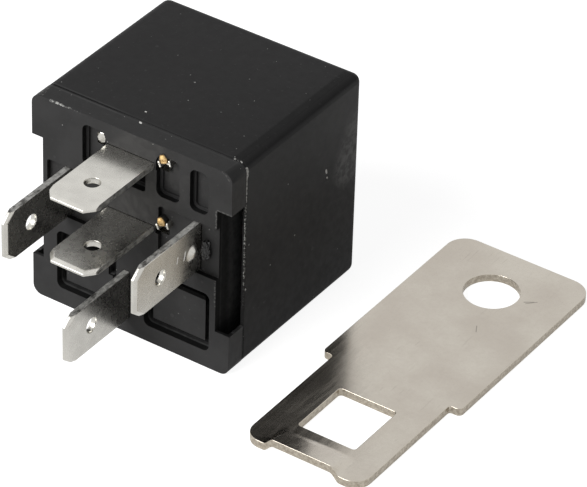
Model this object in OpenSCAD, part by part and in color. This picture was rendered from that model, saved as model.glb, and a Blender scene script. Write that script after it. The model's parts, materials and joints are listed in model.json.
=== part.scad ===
// Changeover relay with five blade terminals, lying on its side as it would on a bench,
// and the flat steel bracket that carries it, lying beside it.
// The blades point along -Y and +Z is up. The origin is under the middle of the body, on the
// surface that the relay lies on, level with the joint between the base's collar and the cover.

/* [Body] */
// Width of the base collar, across the terminal face
base_w = 27.2; // [26.4:0.1:34]
// Thickness of the collar that shows in front of the cover
collar_t = 2.7; // [2.6:0.1:5]
// How far the collar stands proud of the cover all round
collar_lip = 0.05; // [0.05:0.05:0.6]
// Corner radius of the collar
collar_r = 1.2; // [0.8:0.1:3]
// Depth of the base's plug inside the cover
plug_t = 2.2; // [1.8:0.1:4]
// Gap between the plug and the cover
plug_clear = 0.1; // [0.05:0.05:0.2]
// Wall of the cover
cover_wall = 1.2; // [0.8:0.1:1.4]
// Radius of the cover's long edges
cover_r = 1.1; // [0.8:0.1:3]
// Thickness of the cover's edge where it shows in the two side notches
notch_rim = 0.4; // [0.3:0.05:0.7]
// Radius of the edges round the cover's closed back
cover_back_r = 1.1; // [0.5:0.1:1.4]
// Air between the innermost terminal and the cover's back wall
back_gap = 0.85; // [0.1:0.05:2]

/* [Recesses in the terminal face] */
// Height of the two side notches in the collar
notch_h = 16.3; // [14:0.1:18]
// Depth of the notch on the right side
notch_right = 1.95; // [1.4:0.05:2.2]
// Depth of the notch on the left side
notch_left = 1.5; // [1:0.05:2]
// Depth of the shallow recesses round the terminals
recess_d = 0.7; // [0.3:0.05:1.2]
// Depth of the two large recesses low on the face
pocket_d = 1.5; // [0.6:0.05:1.8]
// Width of the face left at the collar's edge beside and below the recesses
face_rim = 2.2; // [1.6:0.1:3]
// Corner radius of the recesses
recess_r = 0.8; // [0.3:0.05:1]

/* [Terminals] */
// Width of a blade
blade_w = 6.3; // [6:0.1:6.6]
// Thickness of a blade and of the sheet behind it
blade_t = 0.8; // [0.6:0.05:1]
// Length of a blade in front of the terminal face
blade_l = 11.7; // [9:0.1:16]
// Length of the cut at each corner of a blade's tip
tip_cut_l = 1.15; // [0.5:0.05:2]
// Width of the cut at each corner of a blade's tip
tip_cut_w = 0.95; // [0.5:0.05:2]
// Length of the coined bevel at a blade's tip
tip_bevel = 0.45; // [0.2:0.05:1]
// Diameter of the detent hole in a blade
detent_d = 1.9; // [1.4:0.1:2.4]
// Distance of the detent hole from the blade's tip
detent_y = 4.7; // [3.5:0.1:6]
// Spacing of blades 85 and 86
pitch_coil = 17.6; // [17.2:0.1:18.4]
// Spacing of blades 87 and 87a
pitch_87 = 8.4; // [7.8:0.1:8.8]
// Spacing of blades 87a and 30
pitch_30 = 10.5; // [10.2:0.1:10.9]
// Height of blade 30's middle above the collar's lower side
low_rim = 5.3; // [4.8:0.1:9]
// Height of the collar above the middle of blade 87
top_rim = 3; // [2.6:0.1:6]
// Distance of blade 30 to the left of the middle
blade30_off = 0.5; // [0:0.1:1]
// Width of the staked nibs beside blades 87 and 87a
nib_w = 1.4; // [0.8:0.1:1.6]
// Gap between a blade and its slot in the base
slot_clear = 0.05; // [0.02:0.01:0.1]
// Inner radius where the sheet is bent
bend_r = 0.3; // [0.2:0.05:0.6]
// Diameter of the locking dimple on blades 85 and 86
dimple_d = 1.9; // [1.2:0.1:2.4]

/* [Coil and yoke] */
// Length of the bobbin
bobbin_l = 10.8; // [8:0.1:16]
// Width of the bobbin's flanges
flange_w = 13; // [12.2:0.1:14]
// Height of the bobbin's flanges
flange_h = 12.4; // [12:0.1:12.8]
// Thickness of the bobbin's flanges
flange_t = 0.8; // [0.5:0.1:1.2]
// Distance of the coil's axis below the row of blades 85, 87a and 86
coil_drop = 4.4; // [4.2:0.1:4.8]
// Diameter of the winding
winding_d = 11.4; // [9:0.1:11.8]
// Diameter of the core
core_d = 5; // [4:0.1:6]
// Diameter of the core's pole face
pole_d = 8; // [6.8:0.1:9]
// Thickness of the core's pole face
pole_t = 0.8; // [0.6:0.1:1.4]
// Thickness of the yoke
yoke_t = 1.6; // [1.2:0.1:1.8]
// Width of the yoke
yoke_w = 12; // [11:0.1:12.6]
// Wall of the bobbin's tube
tube_wall = 0.8; // [0.5:0.05:1.2]
// Diameter of the coil's leads
lead_d = 0.45; // [0.2:0.05:0.6]

/* [Armature and contacts] */
// Thickness of the armature
armature_t = 1.4; // [1:0.1:2]
// Width of the armature
armature_w = 10; // [8:0.1:11]
// Thickness of the contact spring
spring_t = 0.25; // [0.15:0.05:0.35]
// Width of the contact spring on the yoke and the armature
spring_w = 8; // [7:0.1:9]
// Width of the contact spring's tongue
tongue_w = 3.8; // [3.4:0.1:5]
// Inner radius of the contact spring's bend
spring_r = 1.1; // [1:0.05:1.4]
// Diameter of the contacts
contact_d = 3; // [2.4:0.1:3.2]
// Height of a contact's head
contact_h = 0.5; // [0.4:0.05:0.8]
// Gap between the open contacts
contact_gap = 0.9; // [0.5:0.05:1.2]
// Height of the contacts above the row of blades 85, 87a and 86
contact_rise = 5.2; // [5:0.1:5.6]

/* [Bracket] */
// Thickness of the bracket's sheet
bracket_t = 1; // [0.8:0.1:2]
// Width of the bracket
bracket_w = 18.4; // [17:0.1:24]
// Length of the bracket's wide part
bracket_l = 28.3; // [20:0.1:40]
// Width of the bracket's narrow end
neck_w = 15.5; // [12:0.1:16.5]
// Length of the bracket's narrow end
neck_l = 17.7; // [15:0.1:24]
// Diameter of the bracket's screw hole
hole_d = 6.6; // [5:0.1:8.4]
// Distance of the screw hole from the wide end
hole_y = 7.5; // [6:0.1:12]
// Width of the window in the narrow end
window_w = 7.5; // [6:0.1:9]
// Length of the window in the narrow end
window_l = 8.3; // [6:0.1:9]
// Distance of the window from the front edge of the narrow end
window_y = 4.9; // [4.5:0.1:6]
// Radius of the bracket's wide corners
bracket_r = 2.6; // [1:0.1:4]
// Radius of the corners of the narrow end
ear_r = 2.1; // [1:0.1:2.4]
// Width of the raised lip between the two ears
lip_w = 10; // [7:0.1:10.6]
// Length of the raised lip
lip_l = 4; // [3:0.1:4.4]
// How far the lip is raised
lip_rise = 1; // [0.4:0.1:1.4]
// Gap between the body and the bracket lying beside it
bracket_gap = 6.4; // [4:0.1:20]
// Distance of the bracket's shoulders behind the front edge of the cover
shoulder_y = 6.5; // [0:0.1:12]

/* [Hidden] */

$fn = 64;
eps = 0.01;
past = 1;

plastic_black = [0.07, 0.07, 0.075];
tinned_brass = [0.74, 0.73, 0.7];
nickel_steel = [0.72, 0.7, 0.66];
soft_iron = [0.58, 0.58, 0.6];
enamel_copper = [0.62, 0.27, 0.12];
bobbin_white = [0.86, 0.84, 0.78];
spring_bronze = [0.76, 0.5, 0.26];
contact_silver = [0.82, 0.82, 0.8];
solder_tin = [0.7, 0.7, 0.71];

// Terminal face and blades: the blades' spacing and the rims round them give the collar's height
base_h = low_rim + pitch_30 + pitch_87 + top_rim;
mid_z = base_h / 2;
face_y = -collar_t;
tip_y = face_y - blade_l;
seat_y = plug_t;
z_30 = low_rim;
row_z = z_30 + pitch_30;
z_87 = row_z + pitch_87;
x_30 = -blade30_off;
x_coil = pitch_coil / 2;
blade_hw = blade_w / 2;
blade_ht = blade_t / 2;
tip_t = 0.3;
nib_gap = 0.3;
nib_x = blade_hw + nib_gap;
nib_out = 0.45;
nib_up = 0.5;
shoulder_hw = nib_x + nib_w;
shoulder_t = 1.4;
inner_hw = 2.2;
tag_h = 3.2;
tag_l = 5.2;
tag_notch_l = 0.8;
tag_notch_w = 1;
dimple_h = 0.28;
dimple_down = 1;
foot_h = 4.8;
foot_w = 4.7;
pip_d = 1.3;
pip_clear = 0.05;
pip_in = 1;
pip_step = 1.7;
pip_up = 1.4;

// Places of the recesses in the terminal face, from the blades and from the notches
recess_in = nib_x + slot_clear;
upper_w = 3.1;
upper_below = 3.7;
upper_above = 1.7;
corner_in = 0.8;
corner_out = 1.65;
middle_in = recess_in + 0.3;
middle_wall = 0.6;
middle_below = 0.3;
middle_above = 0.25;
pocket_wall_right = 0.8;
pocket_wall_left = 1.9;
pocket_drop = 2.6;
rib_hw = 1.9;
under_hw = 2;
under_h = 4;
ledge_w = 0.35;
floor_step = 0.3;
groove_w = 0.9;
panel_d = 0.6;
wide_w = 1.5;
wide_h = 3.6;
hollow_wall = 0.4;
hollow_h = 2;

// Cover
cover_hw = base_w / 2 - collar_lip;
cover_hh = base_h / 2 - collar_lip;
cavity_hw = cover_hw - cover_wall;
cavity_hh = cover_hh - cover_wall;
plug_hw = cavity_hw - plug_clear;
plug_hh = cavity_hh - plug_clear;
plug_r = max(0.3, cover_r - cover_wall);
snap_w = 4;
snap_h = plug_clear + 0.25;
snap_t = 0.8;
snap_x = 7;
snap_clear = 0.08;
notch_rim_l = 3;

// Coil, yoke and pivot
part_gap = 0.05;
yoke_gap = 0.2;
yoke_up = 3.4;
yoke_bend_r = 0.15;
flange_r = 1.6;
coil_z = row_z - coil_drop;
yoke_y = seat_y + blade_t;
bobbin_y = yoke_y + yoke_t + part_gap;
pole_y = bobbin_y + bobbin_l + pole_t;
leg_in_z = coil_z - flange_h / 2 - yoke_gap;
leg_out_z = leg_in_z - yoke_t;
yoke_top_z = coil_z + yoke_up;
stake_step = 1.4;
stake_d = core_d - stake_step;
stake_head_step = 0.4;
stake_head_d = core_d - stake_head_step;
stake_head_t = 0.3;
tube_d = core_d + 2 * part_gap + 2 * tube_wall;
lead_in = 0.75;
lead_y = bobbin_y + flange_t + lead_in;
lead_rise = 4.1;
lead_z = coil_z + lead_rise;
solder_r = 0.75;

// Armature: drawn closed against the pole, shown turned open about the end of the yoke
air_gap = part_gap;
contact_z = row_z + contact_rise;
touch_gap = 0.03;
lever = contact_z - leg_out_z;
open_deg = asin(contact_gap / lever);
armature_y = pole_y + air_gap;
spring_y = armature_y + armature_t;
armature_over = 0.7;
armature_top_z = coil_z + flange_h / 2 + armature_over;
armature_end = 0.12;
heel_cut = 1.1;
armature_rivet_x = 2.4;
armature_rivet_down = 1.6;
armature_rivet_z = armature_top_z - armature_rivet_down;
yoke_rivet_x = 2.4;
yoke_rivet_in = 5.6;
yoke_rivet_y = pole_y - yoke_rivet_in;
rivet_d = 1.4;
rivet_head_d = 2.4;
rivet_head_t = 0.45;
rivet_tail_t = 0.25;
rivet_tail_step = 0.5;
tongue_end = 1.9;
tongue_gap = 0.3;
tongue_z = armature_top_z + tongue_gap;
spring_foot = 2.6;
spring_slot_w = 3.2;
spring_slot_in = 1.2;
spring_slot_up = 2.6;
bend_steps = 12;
contact_stem_d = 1.4;
stem_hole_d = contact_stem_d + 2 * part_gap;
contact_crown_r = 8;

// Fixed contacts: the open one stands where the closed armature brings the moving contact
no_face_y = spring_y - contact_h - touch_gap;
no_plate_y = no_face_y - contact_h;
nc_reach = air_gap + armature_t + spring_t + contact_h;
nc_face_y = pole_y + nc_reach * cos(open_deg) + lever * sin(open_deg) + touch_gap;
nc_plate_y = nc_face_y + contact_h;
nc_back_y = nc_plate_y + blade_t;
nc_side_gap = 1.5;
nc_side_x = armature_w / 2 + nc_side_gap;
nc_half_h = 1.9;
cover_l = nc_back_y + back_gap + cover_wall;

// Bracket
bracket_x = base_w / 2 + bracket_gap + bracket_w / 2;
front_y = shoulder_y - neck_l;
lip_run = 1;
lip_root = 1.2;
lip_steps = 6;
window_r = 0.4;
shoulder_r = 0.6;

// Draws a plan outline and raises it from z0 to z1
module plate_z(z0, z1) {
    translate([0, 0, z0])
        linear_extrude(z1 - z0) children();
}

// Draws an outline across X and Z and carries it from y0 to y1
module plate_y(y0, y1) {
    translate([0, y1, 0])
        rotate([90, 0, 0])
            linear_extrude(y1 - y0) children();
}

// Draws an outline across Y and Z and carries it from x0 to x1
module plate_x(x0, x1) {
    translate([x0, 0, 0])
        rotate([90, 0, 90])
            linear_extrude(x1 - x0) children();
}

// A rectangle between two corners with rounded corners
module round_rect(low, high, r) {
    w = high[0] - low[0];
    h = high[1] - low[1];
    translate([low[0] + r, low[1]]) square([w - 2 * r, h]);
    translate([low[0], low[1] + r]) square([w, h - 2 * r]);
    for (x = [low[0] + r, high[0] - r])
        for (y = [low[1] + r, high[1] - r])
            translate([x, y]) circle(r);
}

// The section of a sheet that runs along +X for a and then turns up for b, both outer lengths
module bent_sheet(a, b, t, r) {
    ro = r + t;
    square([a - ro, t]);
    translate([a - t, ro]) square([t, b - ro]);
    translate([a - ro, ro])
        intersection() {
            difference() {
                circle(ro);
                circle(r);
            }
            translate([0, -ro]) square(ro);
        }
}

// A shaft along Y between y0 and y1
module rod_y(x, z, y0, y1, d) {
    translate([x, y1, z])
        rotate([90, 0, 0])
            cylinder(h = y1 - y0, d = d);
}

// A shaft along X between x0 and x1
module rod_x(y, z, x0, x1, d) {
    translate([x0, y, z])
        rotate([0, 90, 0])
            cylinder(h = x1 - x0, d = d);
}

// A blade across X in the plane Z = 0, from its tip to y_in
module blade_tab(y_in) {
    difference() {
        intersection() {
            plate_z(-blade_ht, blade_ht)
                polygon([
                    [-blade_hw, y_in], [-blade_hw, tip_y + tip_cut_l],
                    [-blade_hw + tip_cut_w, tip_y], [blade_hw - tip_cut_w, tip_y],
                    [blade_hw, tip_y + tip_cut_l], [blade_hw, y_in]
                ]);
            plate_x(-blade_hw, blade_hw)
                polygon([
                    [y_in, -blade_ht], [tip_y + tip_bevel, -blade_ht],
                    [tip_y, -tip_t / 2], [tip_y, tip_t / 2],
                    [tip_y + tip_bevel, blade_ht], [y_in, blade_ht]
                ]);
        }
        translate([0, tip_y + detent_y, -blade_ht - past])
            cylinder(h = blade_t + 2 * past, d = detent_d);
    }
}

// The shoulders and staked nibs of a blade that lies across X
module nibs_and_shoulders() {
    plate_z(-blade_ht, blade_ht)
        translate([-shoulder_hw, seat_y - shoulder_t])
            square([2 * shoulder_hw, shoulder_t + eps]);
    for (side = [-1, 1]) {
        x0 = side > 0 ? nib_x : -shoulder_hw;
        plate_z(-blade_ht, blade_ht)
            translate([x0, face_y + recess_d - nib_out])
                square([nib_w, seat_y - shoulder_t - face_y - recess_d + nib_out + eps]);
        plate_z(-blade_ht, blade_ht + nib_up)
            translate([x0, face_y + recess_d - nib_out])
                square([nib_w, nib_out - part_gap]);
    }
}

// The room that the base leaves for one blade across X
module blade_slot() {
    c = slot_clear;
    plate_z(-blade_ht - c, blade_ht + c)
        translate([-blade_hw - c, face_y - past])
            square([blade_w + 2 * c, collar_t + plug_t + 2 * past]);
}

module nib_slots() {
    c = slot_clear;
    plate_z(-blade_ht - c, blade_ht + c) {
        translate([-shoulder_hw - c, seat_y - shoulder_t - c])
            square([2 * (shoulder_hw + c), shoulder_t + c + past]);
        for (side = [-1, 1])
            translate([side > 0 ? nib_x - c : -shoulder_hw - c, face_y - past])
                square([nib_w + 2 * c, collar_t + plug_t + past]);
    }
    // room for the staked ends
    plate_z(0, blade_ht + nib_up + c)
        for (side = [-1, 1])
            translate([side > 0 ? nib_x - c : -shoulder_hw - c, face_y - past])
                square([nib_w + 2 * c, recess_d + past]);
}

// Places what is drawn across X so that it stands across Z at the given x and z
module upright(x, z) {
    translate([x, 0, z])
        rotate([0, 90, 0])
            children();
}

module cover() {
    low_z = mid_z - cover_hh;
    high_z = mid_z + cover_hh;
    color(plastic_black)
        difference() {
            intersection() {
                plate_y(0, cover_l)
                    round_rect([-cover_hw, low_z], [cover_hw, high_z], cover_r);
                plate_z(low_z, high_z)
                    round_rect([-cover_hw, -2 * cover_back_r], [cover_hw, cover_l], cover_back_r);
                plate_x(-cover_hw, cover_hw)
                    round_rect([-2 * cover_back_r, low_z], [cover_l, high_z], cover_back_r);
            }
            plate_y(-past, cover_l - cover_wall)
                round_rect([-cavity_hw, mid_z - cavity_hh], [cavity_hw, mid_z + cavity_hh], plug_r);
            snap_lugs(snap_clear);
            // thinned edges that show in the side notches
            for (side = [-1, 1])
                translate([
                    side > 0 ? cavity_hw - past : notch_rim - cover_hw,
                    -past,
                    mid_z - notch_h / 2
                ])
                    cube([cover_wall - notch_rim + past, notch_rim_l + past, notch_h]);
        }
}

// Four lugs on the plug that snap into pockets inside the cover's upper and lower walls
module snap_lugs(grow) {
    for (x = [-snap_x, snap_x])
        for (side = [-1, 1])
            translate([
                x - snap_w / 2 - grow,
                (plug_t - snap_t) / 2 - grow,
                mid_z + side * (plug_hh + (snap_h - past) / 2) - (snap_h + past) / 2 - grow
            ])
                cube([snap_w + 2 * grow, snap_t + 2 * grow, snap_h + past + 2 * grow]);
}

module base() {
    half_w = base_w / 2;
    notch_x = [half_w - notch_left, half_w - notch_right];
    pocket_top = row_z - blade_hw - pocket_drop;
    upper = [z_87 - upper_below, z_87 + upper_above];
    middle = [row_z - blade_hw - middle_below, row_z + blade_hw + middle_above];
    c = slot_clear;
    color(plastic_black)
        difference() {
            union() {
                plate_y(face_y, 0)
                    round_rect([-half_w, 0], [half_w, base_h], collar_r);
                plate_y(-eps, plug_t)
                    round_rect([-plug_hw, mid_z - plug_hh], [plug_hw, mid_z + plug_hh], plug_r);
                snap_lugs(0);
                yoke_guides();
            }
            // side notches
            plate_y(face_y - past, plug_t + past) {
                translate([notch_x[1], mid_z - notch_h / 2])
                    square([notch_right + past, notch_h]);
                translate([-half_w - past, mid_z - notch_h / 2])
                    square([notch_left + past, notch_h]);
            }
            // hollows that carry on from the notches behind thin walls
            plate_y(face_y + hollow_wall, plug_t + past) {
                translate([notch_x[1], mid_z - notch_h / 2 - hollow_h])
                    square([notch_right - hollow_wall, notch_h + 2 * hollow_h]);
                translate([-notch_x[0], mid_z - notch_h / 2 - hollow_h])
                    mirror([1, 0]) square([notch_left - hollow_wall, notch_h + 2 * hollow_h]);
            }
            // shallow recesses beside blade 87 and at the upper right corner
            for (x = [recess_in, -recess_in - upper_w])
                stepped_recess([x, upper[0]], [x + upper_w, upper[1]], recess_d);
            stepped_recess([x_coil - corner_in, upper[0]], [x_coil + corner_out, upper[1]], recess_d);
            // recesses round blades 85 and 86
            plate_y(face_y - past, face_y + recess_d - 0.1) {
                round_rect([middle_in, middle[0]], [half_w + past, middle[1]], recess_r / 2);
                round_rect([middle_wall - notch_x[0], middle[0]], [-middle_in, middle[1]], recess_r / 2);
            }
            // large recesses low on both sides of blade 30
            panel_recess([rib_hw, face_rim], [notch_x[1] - pocket_wall_right, pocket_top]);
            panel_recess([pocket_wall_left - notch_x[0], face_rim], [-rib_hw, pocket_top]);
            // recess under blade 87
            plate_y(face_y - past, face_y + pocket_d)
                round_rect([-under_hw, z_87 - under_h], [under_hw, z_87], recess_r / 2);
            // wider corner of the groove in the left one
            translate([-rib_hw - wide_w, face_y, pocket_top - wide_h])
                cube([wide_w, pocket_d, wide_h - recess_r]);
            // slots for the blades
            for (z = [z_87, row_z])
                translate([0, 0, z]) {
                    blade_slot();
                    nib_slots();
                }
            for (x = [-x_coil, x_coil])
                upright(x, row_z) blade_slot();
            upright(x_30, z_30) blade_slot();
            // relief for the bends behind blades 87a and 30
            translate([-blade_hw - c, seat_y - bend_r - 2 * c, row_z])
                cube([blade_w + 2 * c, bend_r + past, blade_ht + bend_r + 2 * c]);
            translate([x_30, seat_y - bend_r - 2 * c, z_30 - foot_h / 2 - c])
                cube([blade_ht + bend_r + 2 * c, bend_r + past, foot_h + 2 * c]);
        }
}

// A recess in the terminal face whose floor lies a step deeper within a narrow ledge
module stepped_recess(low, high, d) {
    plate_y(face_y - past, face_y + d)
        round_rect(low, high, recess_r);
    plate_y(face_y, face_y + d + floor_step)
        round_rect([low[0] + ledge_w, low[1] + ledge_w], [high[0] - ledge_w, high[1] - ledge_w],
                   max(eps, recess_r - ledge_w));
}

// A large recess whose floor is a groove round a raised panel
module panel_recess(low, high) {
    difference() {
        plate_y(face_y - past, face_y + pocket_d)
            round_rect(low, high, recess_r);
        plate_y(face_y + panel_d, face_y + pocket_d + past)
            translate([low[0] + groove_w, low[1] + groove_w])
                square([high[0] - low[0] - 2 * groove_w, high[1] - low[1] - 2 * groove_w]);
    }
}

// Two posts on the back of the base that hold the edges of the yoke
module yoke_guides() {
    guide_w = 1.2;
    guide_h = 5;
    for (side = [-1, 1]) {
        x0 = side > 0 ? yoke_w / 2 + part_gap : -yoke_w / 2 - part_gap - guide_w;
        translate([x0, plug_t - eps, leg_in_z])
            cube([guide_w, blade_t + yoke_t - part_gap + eps, guide_h]);
    }
}

module terminal_87() {
    drop = z_87 - contact_z + nc_half_h + blade_ht;
    color(tinned_brass)
        difference() {
            union() {
                translate([0, 0, z_87]) {
                    blade_tab(seat_y - shoulder_t + eps);
                    nibs_and_shoulders();
                }
                plate_x(-inner_hw, inner_hw)
                    translate([seat_y - eps, z_87 + blade_ht])
                        mirror([0, 1])
                            bent_sheet(no_plate_y - seat_y + eps, drop, blade_t, bend_r);
            }
            rod_y(0, contact_z, no_plate_y - blade_t - past, no_plate_y + past, stem_hole_d);
        }
}

module terminal_87a() {
    top_z = contact_z + nc_half_h;
    side_out = nc_side_x + blade_t;
    ro = bend_r + blade_t;
    color(tinned_brass)
        difference() {
            union() {
                translate([0, 0, row_z]) {
                    blade_tab(seat_y - shoulder_t + eps);
                    nibs_and_shoulders();
                }
                // rising plate behind the base
                plate_x(-blade_hw, blade_hw)
                    translate([seat_y - bend_r - eps, row_z - blade_ht])
                        bent_sheet(blade_t + bend_r + eps, top_z - row_z + blade_ht, blade_t, bend_r);
                // arm past the side of the armature, with its tongue behind the spring
                plate_z(contact_z - nc_half_h, top_z) {
                    translate([0, seat_y])
                        bent_sheet(side_out, nc_back_y - seat_y - ro, blade_t, bend_r);
                    translate([-inner_hw, nc_back_y])
                        mirror([0, 1])
                            bent_sheet(side_out + inner_hw, ro + eps, blade_t, bend_r);
                }
            }
            rod_y(0, contact_z, nc_plate_y - past, nc_back_y + past, stem_hole_d);
        }
}

// A coil terminal: blade, locking dimple and the tag that takes the lead
module coil_terminal(side) {
    // sphere whose cap is the dimple
    dome_r = (dimple_d * dimple_d / 4 + dimple_h * dimple_h) / (2 * dimple_h);
    dimple_y = face_y - dimple_d / 2;
    dimple_z = row_z - dimple_down;
    color(tinned_brass)
        difference() {
            union() {
                upright(side * x_coil, row_z) blade_tab(seat_y);
                translate([side * x_coil - blade_ht, seat_y - eps, row_z - tag_h / 2])
                    cube([blade_t, tag_l + eps, tag_h]);
                // dimple pressed out of the blade in front of the base
                intersection() {
                    translate([side * (x_coil + blade_ht + dimple_h - dome_r), dimple_y, dimple_z])
                        sphere(r = dome_r);
                    translate([side > 0 ? x_coil : -x_coil - past, face_y - dimple_d, dimple_z - dimple_d])
                        cube([past, 2 * dimple_d, 2 * dimple_d]);
                }
            }
            // notch at the end of the tag
            translate([side * x_coil - past, seat_y + tag_l - tag_notch_l, row_z - tag_notch_w / 2])
                cube([2 * past, past + tag_notch_l, tag_notch_w]);
        }
}

module terminal_86() {
    coil_terminal(-1);
}

module terminal_85() {
    coil_terminal(1);
}

module terminal_30() {
    foot_out = x_30 - blade_ht + foot_w;
    color(tinned_brass)
        difference() {
            union() {
                upright(x_30, z_30) blade_tab(seat_y - bend_r);
                // foot against the yoke, bent from the blade
                plate_z(z_30 - foot_h / 2, z_30 + foot_h / 2)
                    translate([foot_out, yoke_y])
                        rotate(180)
                            bent_sheet(foot_w, blade_t + bend_r + eps, blade_t, bend_r);
            }
            for (p = foot_pips())
                rod_y(p[0], p[1], seat_y - past, yoke_y + past, pip_d + 2 * pip_clear);
        }
}

// Places of the two pips that join the yoke to the foot of terminal 30
function foot_pips() = [
    for (k = [0, 1]) [x_30 - blade_ht + foot_w - pip_in - pip_step * k, z_30 + pip_up]
];

module bobbin() {
    color(bobbin_white)
        difference() {
            union() {
                for (y = [bobbin_y, bobbin_y + bobbin_l - flange_t])
                    plate_y(y, y + flange_t)
                        round_rect([-flange_w / 2, coil_z - flange_h / 2],
                                   [flange_w / 2, coil_z + flange_h / 2], flange_r);
                rod_y(0, coil_z, bobbin_y, bobbin_y + bobbin_l, tube_d);
            }
            rod_y(0, coil_z, bobbin_y - past, bobbin_y + bobbin_l + past, core_d + 2 * part_gap);
        }
}

module coil_winding() {
    y0 = bobbin_y + flange_t + part_gap;
    y1 = bobbin_y + bobbin_l - flange_t - part_gap;
    r_in = tube_d / 2 + part_gap;
    r_out = winding_d / 2;
    edge = 0.4;
    color(enamel_copper)
        translate([0, y1, coil_z])
            rotate([90, 0, 0])
                rotate_extrude()
                    polygon([
                        [r_in, 0], [r_out - edge, 0], [r_out, edge],
                        [r_out, y1 - y0 - edge], [r_out - edge, y1 - y0], [r_in, y1 - y0]
                    ]);
}

module coil_core() {
    color(soft_iron) {
        rod_y(0, coil_z, pole_y - pole_t, pole_y, pole_d);
        rod_y(0, coil_z, bobbin_y, pole_y - pole_t + eps, core_d);
        rod_y(0, coil_z, yoke_y - eps, bobbin_y + eps, stake_d);
        rod_y(0, coil_z, yoke_y - stake_head_t, yoke_y, stake_head_d);
    }
}

module yoke() {
    color(soft_iron)
        difference() {
            union() {
                plate_x(-yoke_w / 2, yoke_w / 2)
                    translate([pole_y, leg_out_z])
                        mirror([1, 0])
                            bent_sheet(pole_y - yoke_y, yoke_top_z - leg_out_z, yoke_t, yoke_bend_r);
                for (p = foot_pips())
                    rod_y(p[0], p[1], seat_y + 0.1, yoke_y + eps, pip_d);
            }
            rod_y(0, coil_z, yoke_y - past, bobbin_y + past, stake_d + 2 * part_gap);
            for (x = [-yoke_rivet_x, yoke_rivet_x])
                translate([x, yoke_rivet_y, leg_out_z - past])
                    cylinder(h = yoke_t + 2 * past, d = rivet_d + 2 * part_gap);
        }
}

// A lead from the winding to the tag of one coil terminal
module coil_lead(side) {
    x0 = sqrt(pow(winding_d / 2, 2) - pow(lead_rise - lead_d / 2, 2)) + part_gap;
    x1 = x_coil - blade_ht;
    color(enamel_copper)
        rod_x(lead_y, lead_z, side > 0 ? x0 : -x1, side > 0 ? x1 : -x0, lead_d);
}

module coil_lead_86() {
    coil_lead(-1);
}

module coil_lead_85() {
    coil_lead(1);
}

// The solder bead where a lead meets its tag
module solder_bead(side) {
    x = side * (x_coil - blade_ht);
    color(solder_tin)
        difference() {
            intersection() {
                translate([x, lead_y, lead_z]) sphere(r = solder_r);
                translate([side > 0 ? x - past : x, lead_y - past, lead_z - past])
                    cube([past, 2 * past, 2 * past]);
            }
            rod_x(lead_y, lead_z, x - past, x + past, lead_d + part_gap);
        }
}

module solder_86() {
    solder_bead(-1);
}

module solder_85() {
    solder_bead(1);
}

// Turns what is drawn closed against the pole to its open rest position
module opened() {
    translate([0, pole_y, leg_out_z])
        rotate([-open_deg, 0, 0])
            translate([0, -pole_y, -leg_out_z])
                children();
}

module armature() {
    z0 = leg_out_z + armature_end;
    cut = 1.2;
    color(soft_iron)
        opened()
            difference() {
                intersection() {
                    plate_x(-armature_w / 2, armature_w / 2)
                        polygon([
                            [armature_y, z0], [spring_y - heel_cut, z0], [spring_y, z0 + heel_cut],
                            [spring_y, armature_top_z], [armature_y, armature_top_z]
                        ]);
                    plate_y(armature_y, spring_y)
                        polygon([
                            [-armature_w / 2, z0], [armature_w / 2, z0],
                            [armature_w / 2, armature_top_z - cut], [armature_w / 2 - cut, armature_top_z],
                            [cut - armature_w / 2, armature_top_z], [-armature_w / 2, armature_top_z - cut]
                        ]);
                }
                for (x = [-armature_rivet_x, armature_rivet_x])
                    rod_y(x, armature_rivet_z, armature_y - past, spring_y + past, rivet_d + 2 * part_gap);
            }
}

// Where a point across Y and Z comes to when the armature is turned open
function turned(p) = [
    pole_y + (p[0] - pole_y) * cos(open_deg) + (p[1] - leg_out_z) * sin(open_deg),
    leg_out_z - (p[0] - pole_y) * sin(open_deg) + (p[1] - leg_out_z) * cos(open_deg)
];

// Points of an arc across Y and Z from angle a0 to angle a1
function arc_points(c, r, a0, a1, steps) = [
    for (i = [0:steps]) let (a = a0 + (a1 - a0) * i / steps) c + r * [cos(a), sin(a)]
];

// Leaf that lies on the yoke, bends round the pivot and carries the armature and moving contact
module contact_spring() {
    r_mid = spring_r + spring_t / 2;
    // middle of the bend, where it meets both the flat leg and the turned leaf
    reach = spring_y - pole_y + spring_t / 2 - r_mid;
    bend = [pole_y + (reach + spring_r * sin(open_deg)) / cos(open_deg), leg_out_z + spring_r];
    leaf_top = contact_z + tongue_end;
    flat_y0 = yoke_rivet_y - spring_foot;
    color(spring_bronze)
        difference() {
            plate_x(-spring_w / 2, spring_w / 2)
                polygon(concat(
                    [[flat_y0, leg_out_z - spring_t]],
                    arc_points(bend, spring_r + spring_t, -90, -open_deg, bend_steps),
                    [turned([spring_y + spring_t, leaf_top]), turned([spring_y, leaf_top])],
                    arc_points(bend, spring_r, -open_deg, -90, bend_steps),
                    [[flat_y0, leg_out_z]]
                ));
            opened() {
                for (side = [-1, 1])
                    translate([side > 0 ? tongue_w / 2 : -spring_w, spring_y - past, tongue_z])
                        cube([spring_w - tongue_w / 2, 2 * past + spring_t, leaf_top]);
                for (x = [-armature_rivet_x, armature_rivet_x])
                    rod_y(x, armature_rivet_z, spring_y - past, spring_y + past, rivet_d + 2 * part_gap);
                rod_y(0, contact_z, spring_y - past, spring_y + past, stem_hole_d);
            }
            // window that frees the bend
            translate([-spring_slot_w / 2, pole_y - spring_slot_in, leg_out_z - past])
                cube([spring_slot_w, spring_slot_in + reach + 2 * r_mid, past + spring_slot_up]);
            for (x = [-yoke_rivet_x, yoke_rivet_x])
                translate([x, yoke_rivet_y, leg_out_z - past])
                    cylinder(h = 2 * past, d = rivet_d + 2 * part_gap);
        }
}

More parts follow.
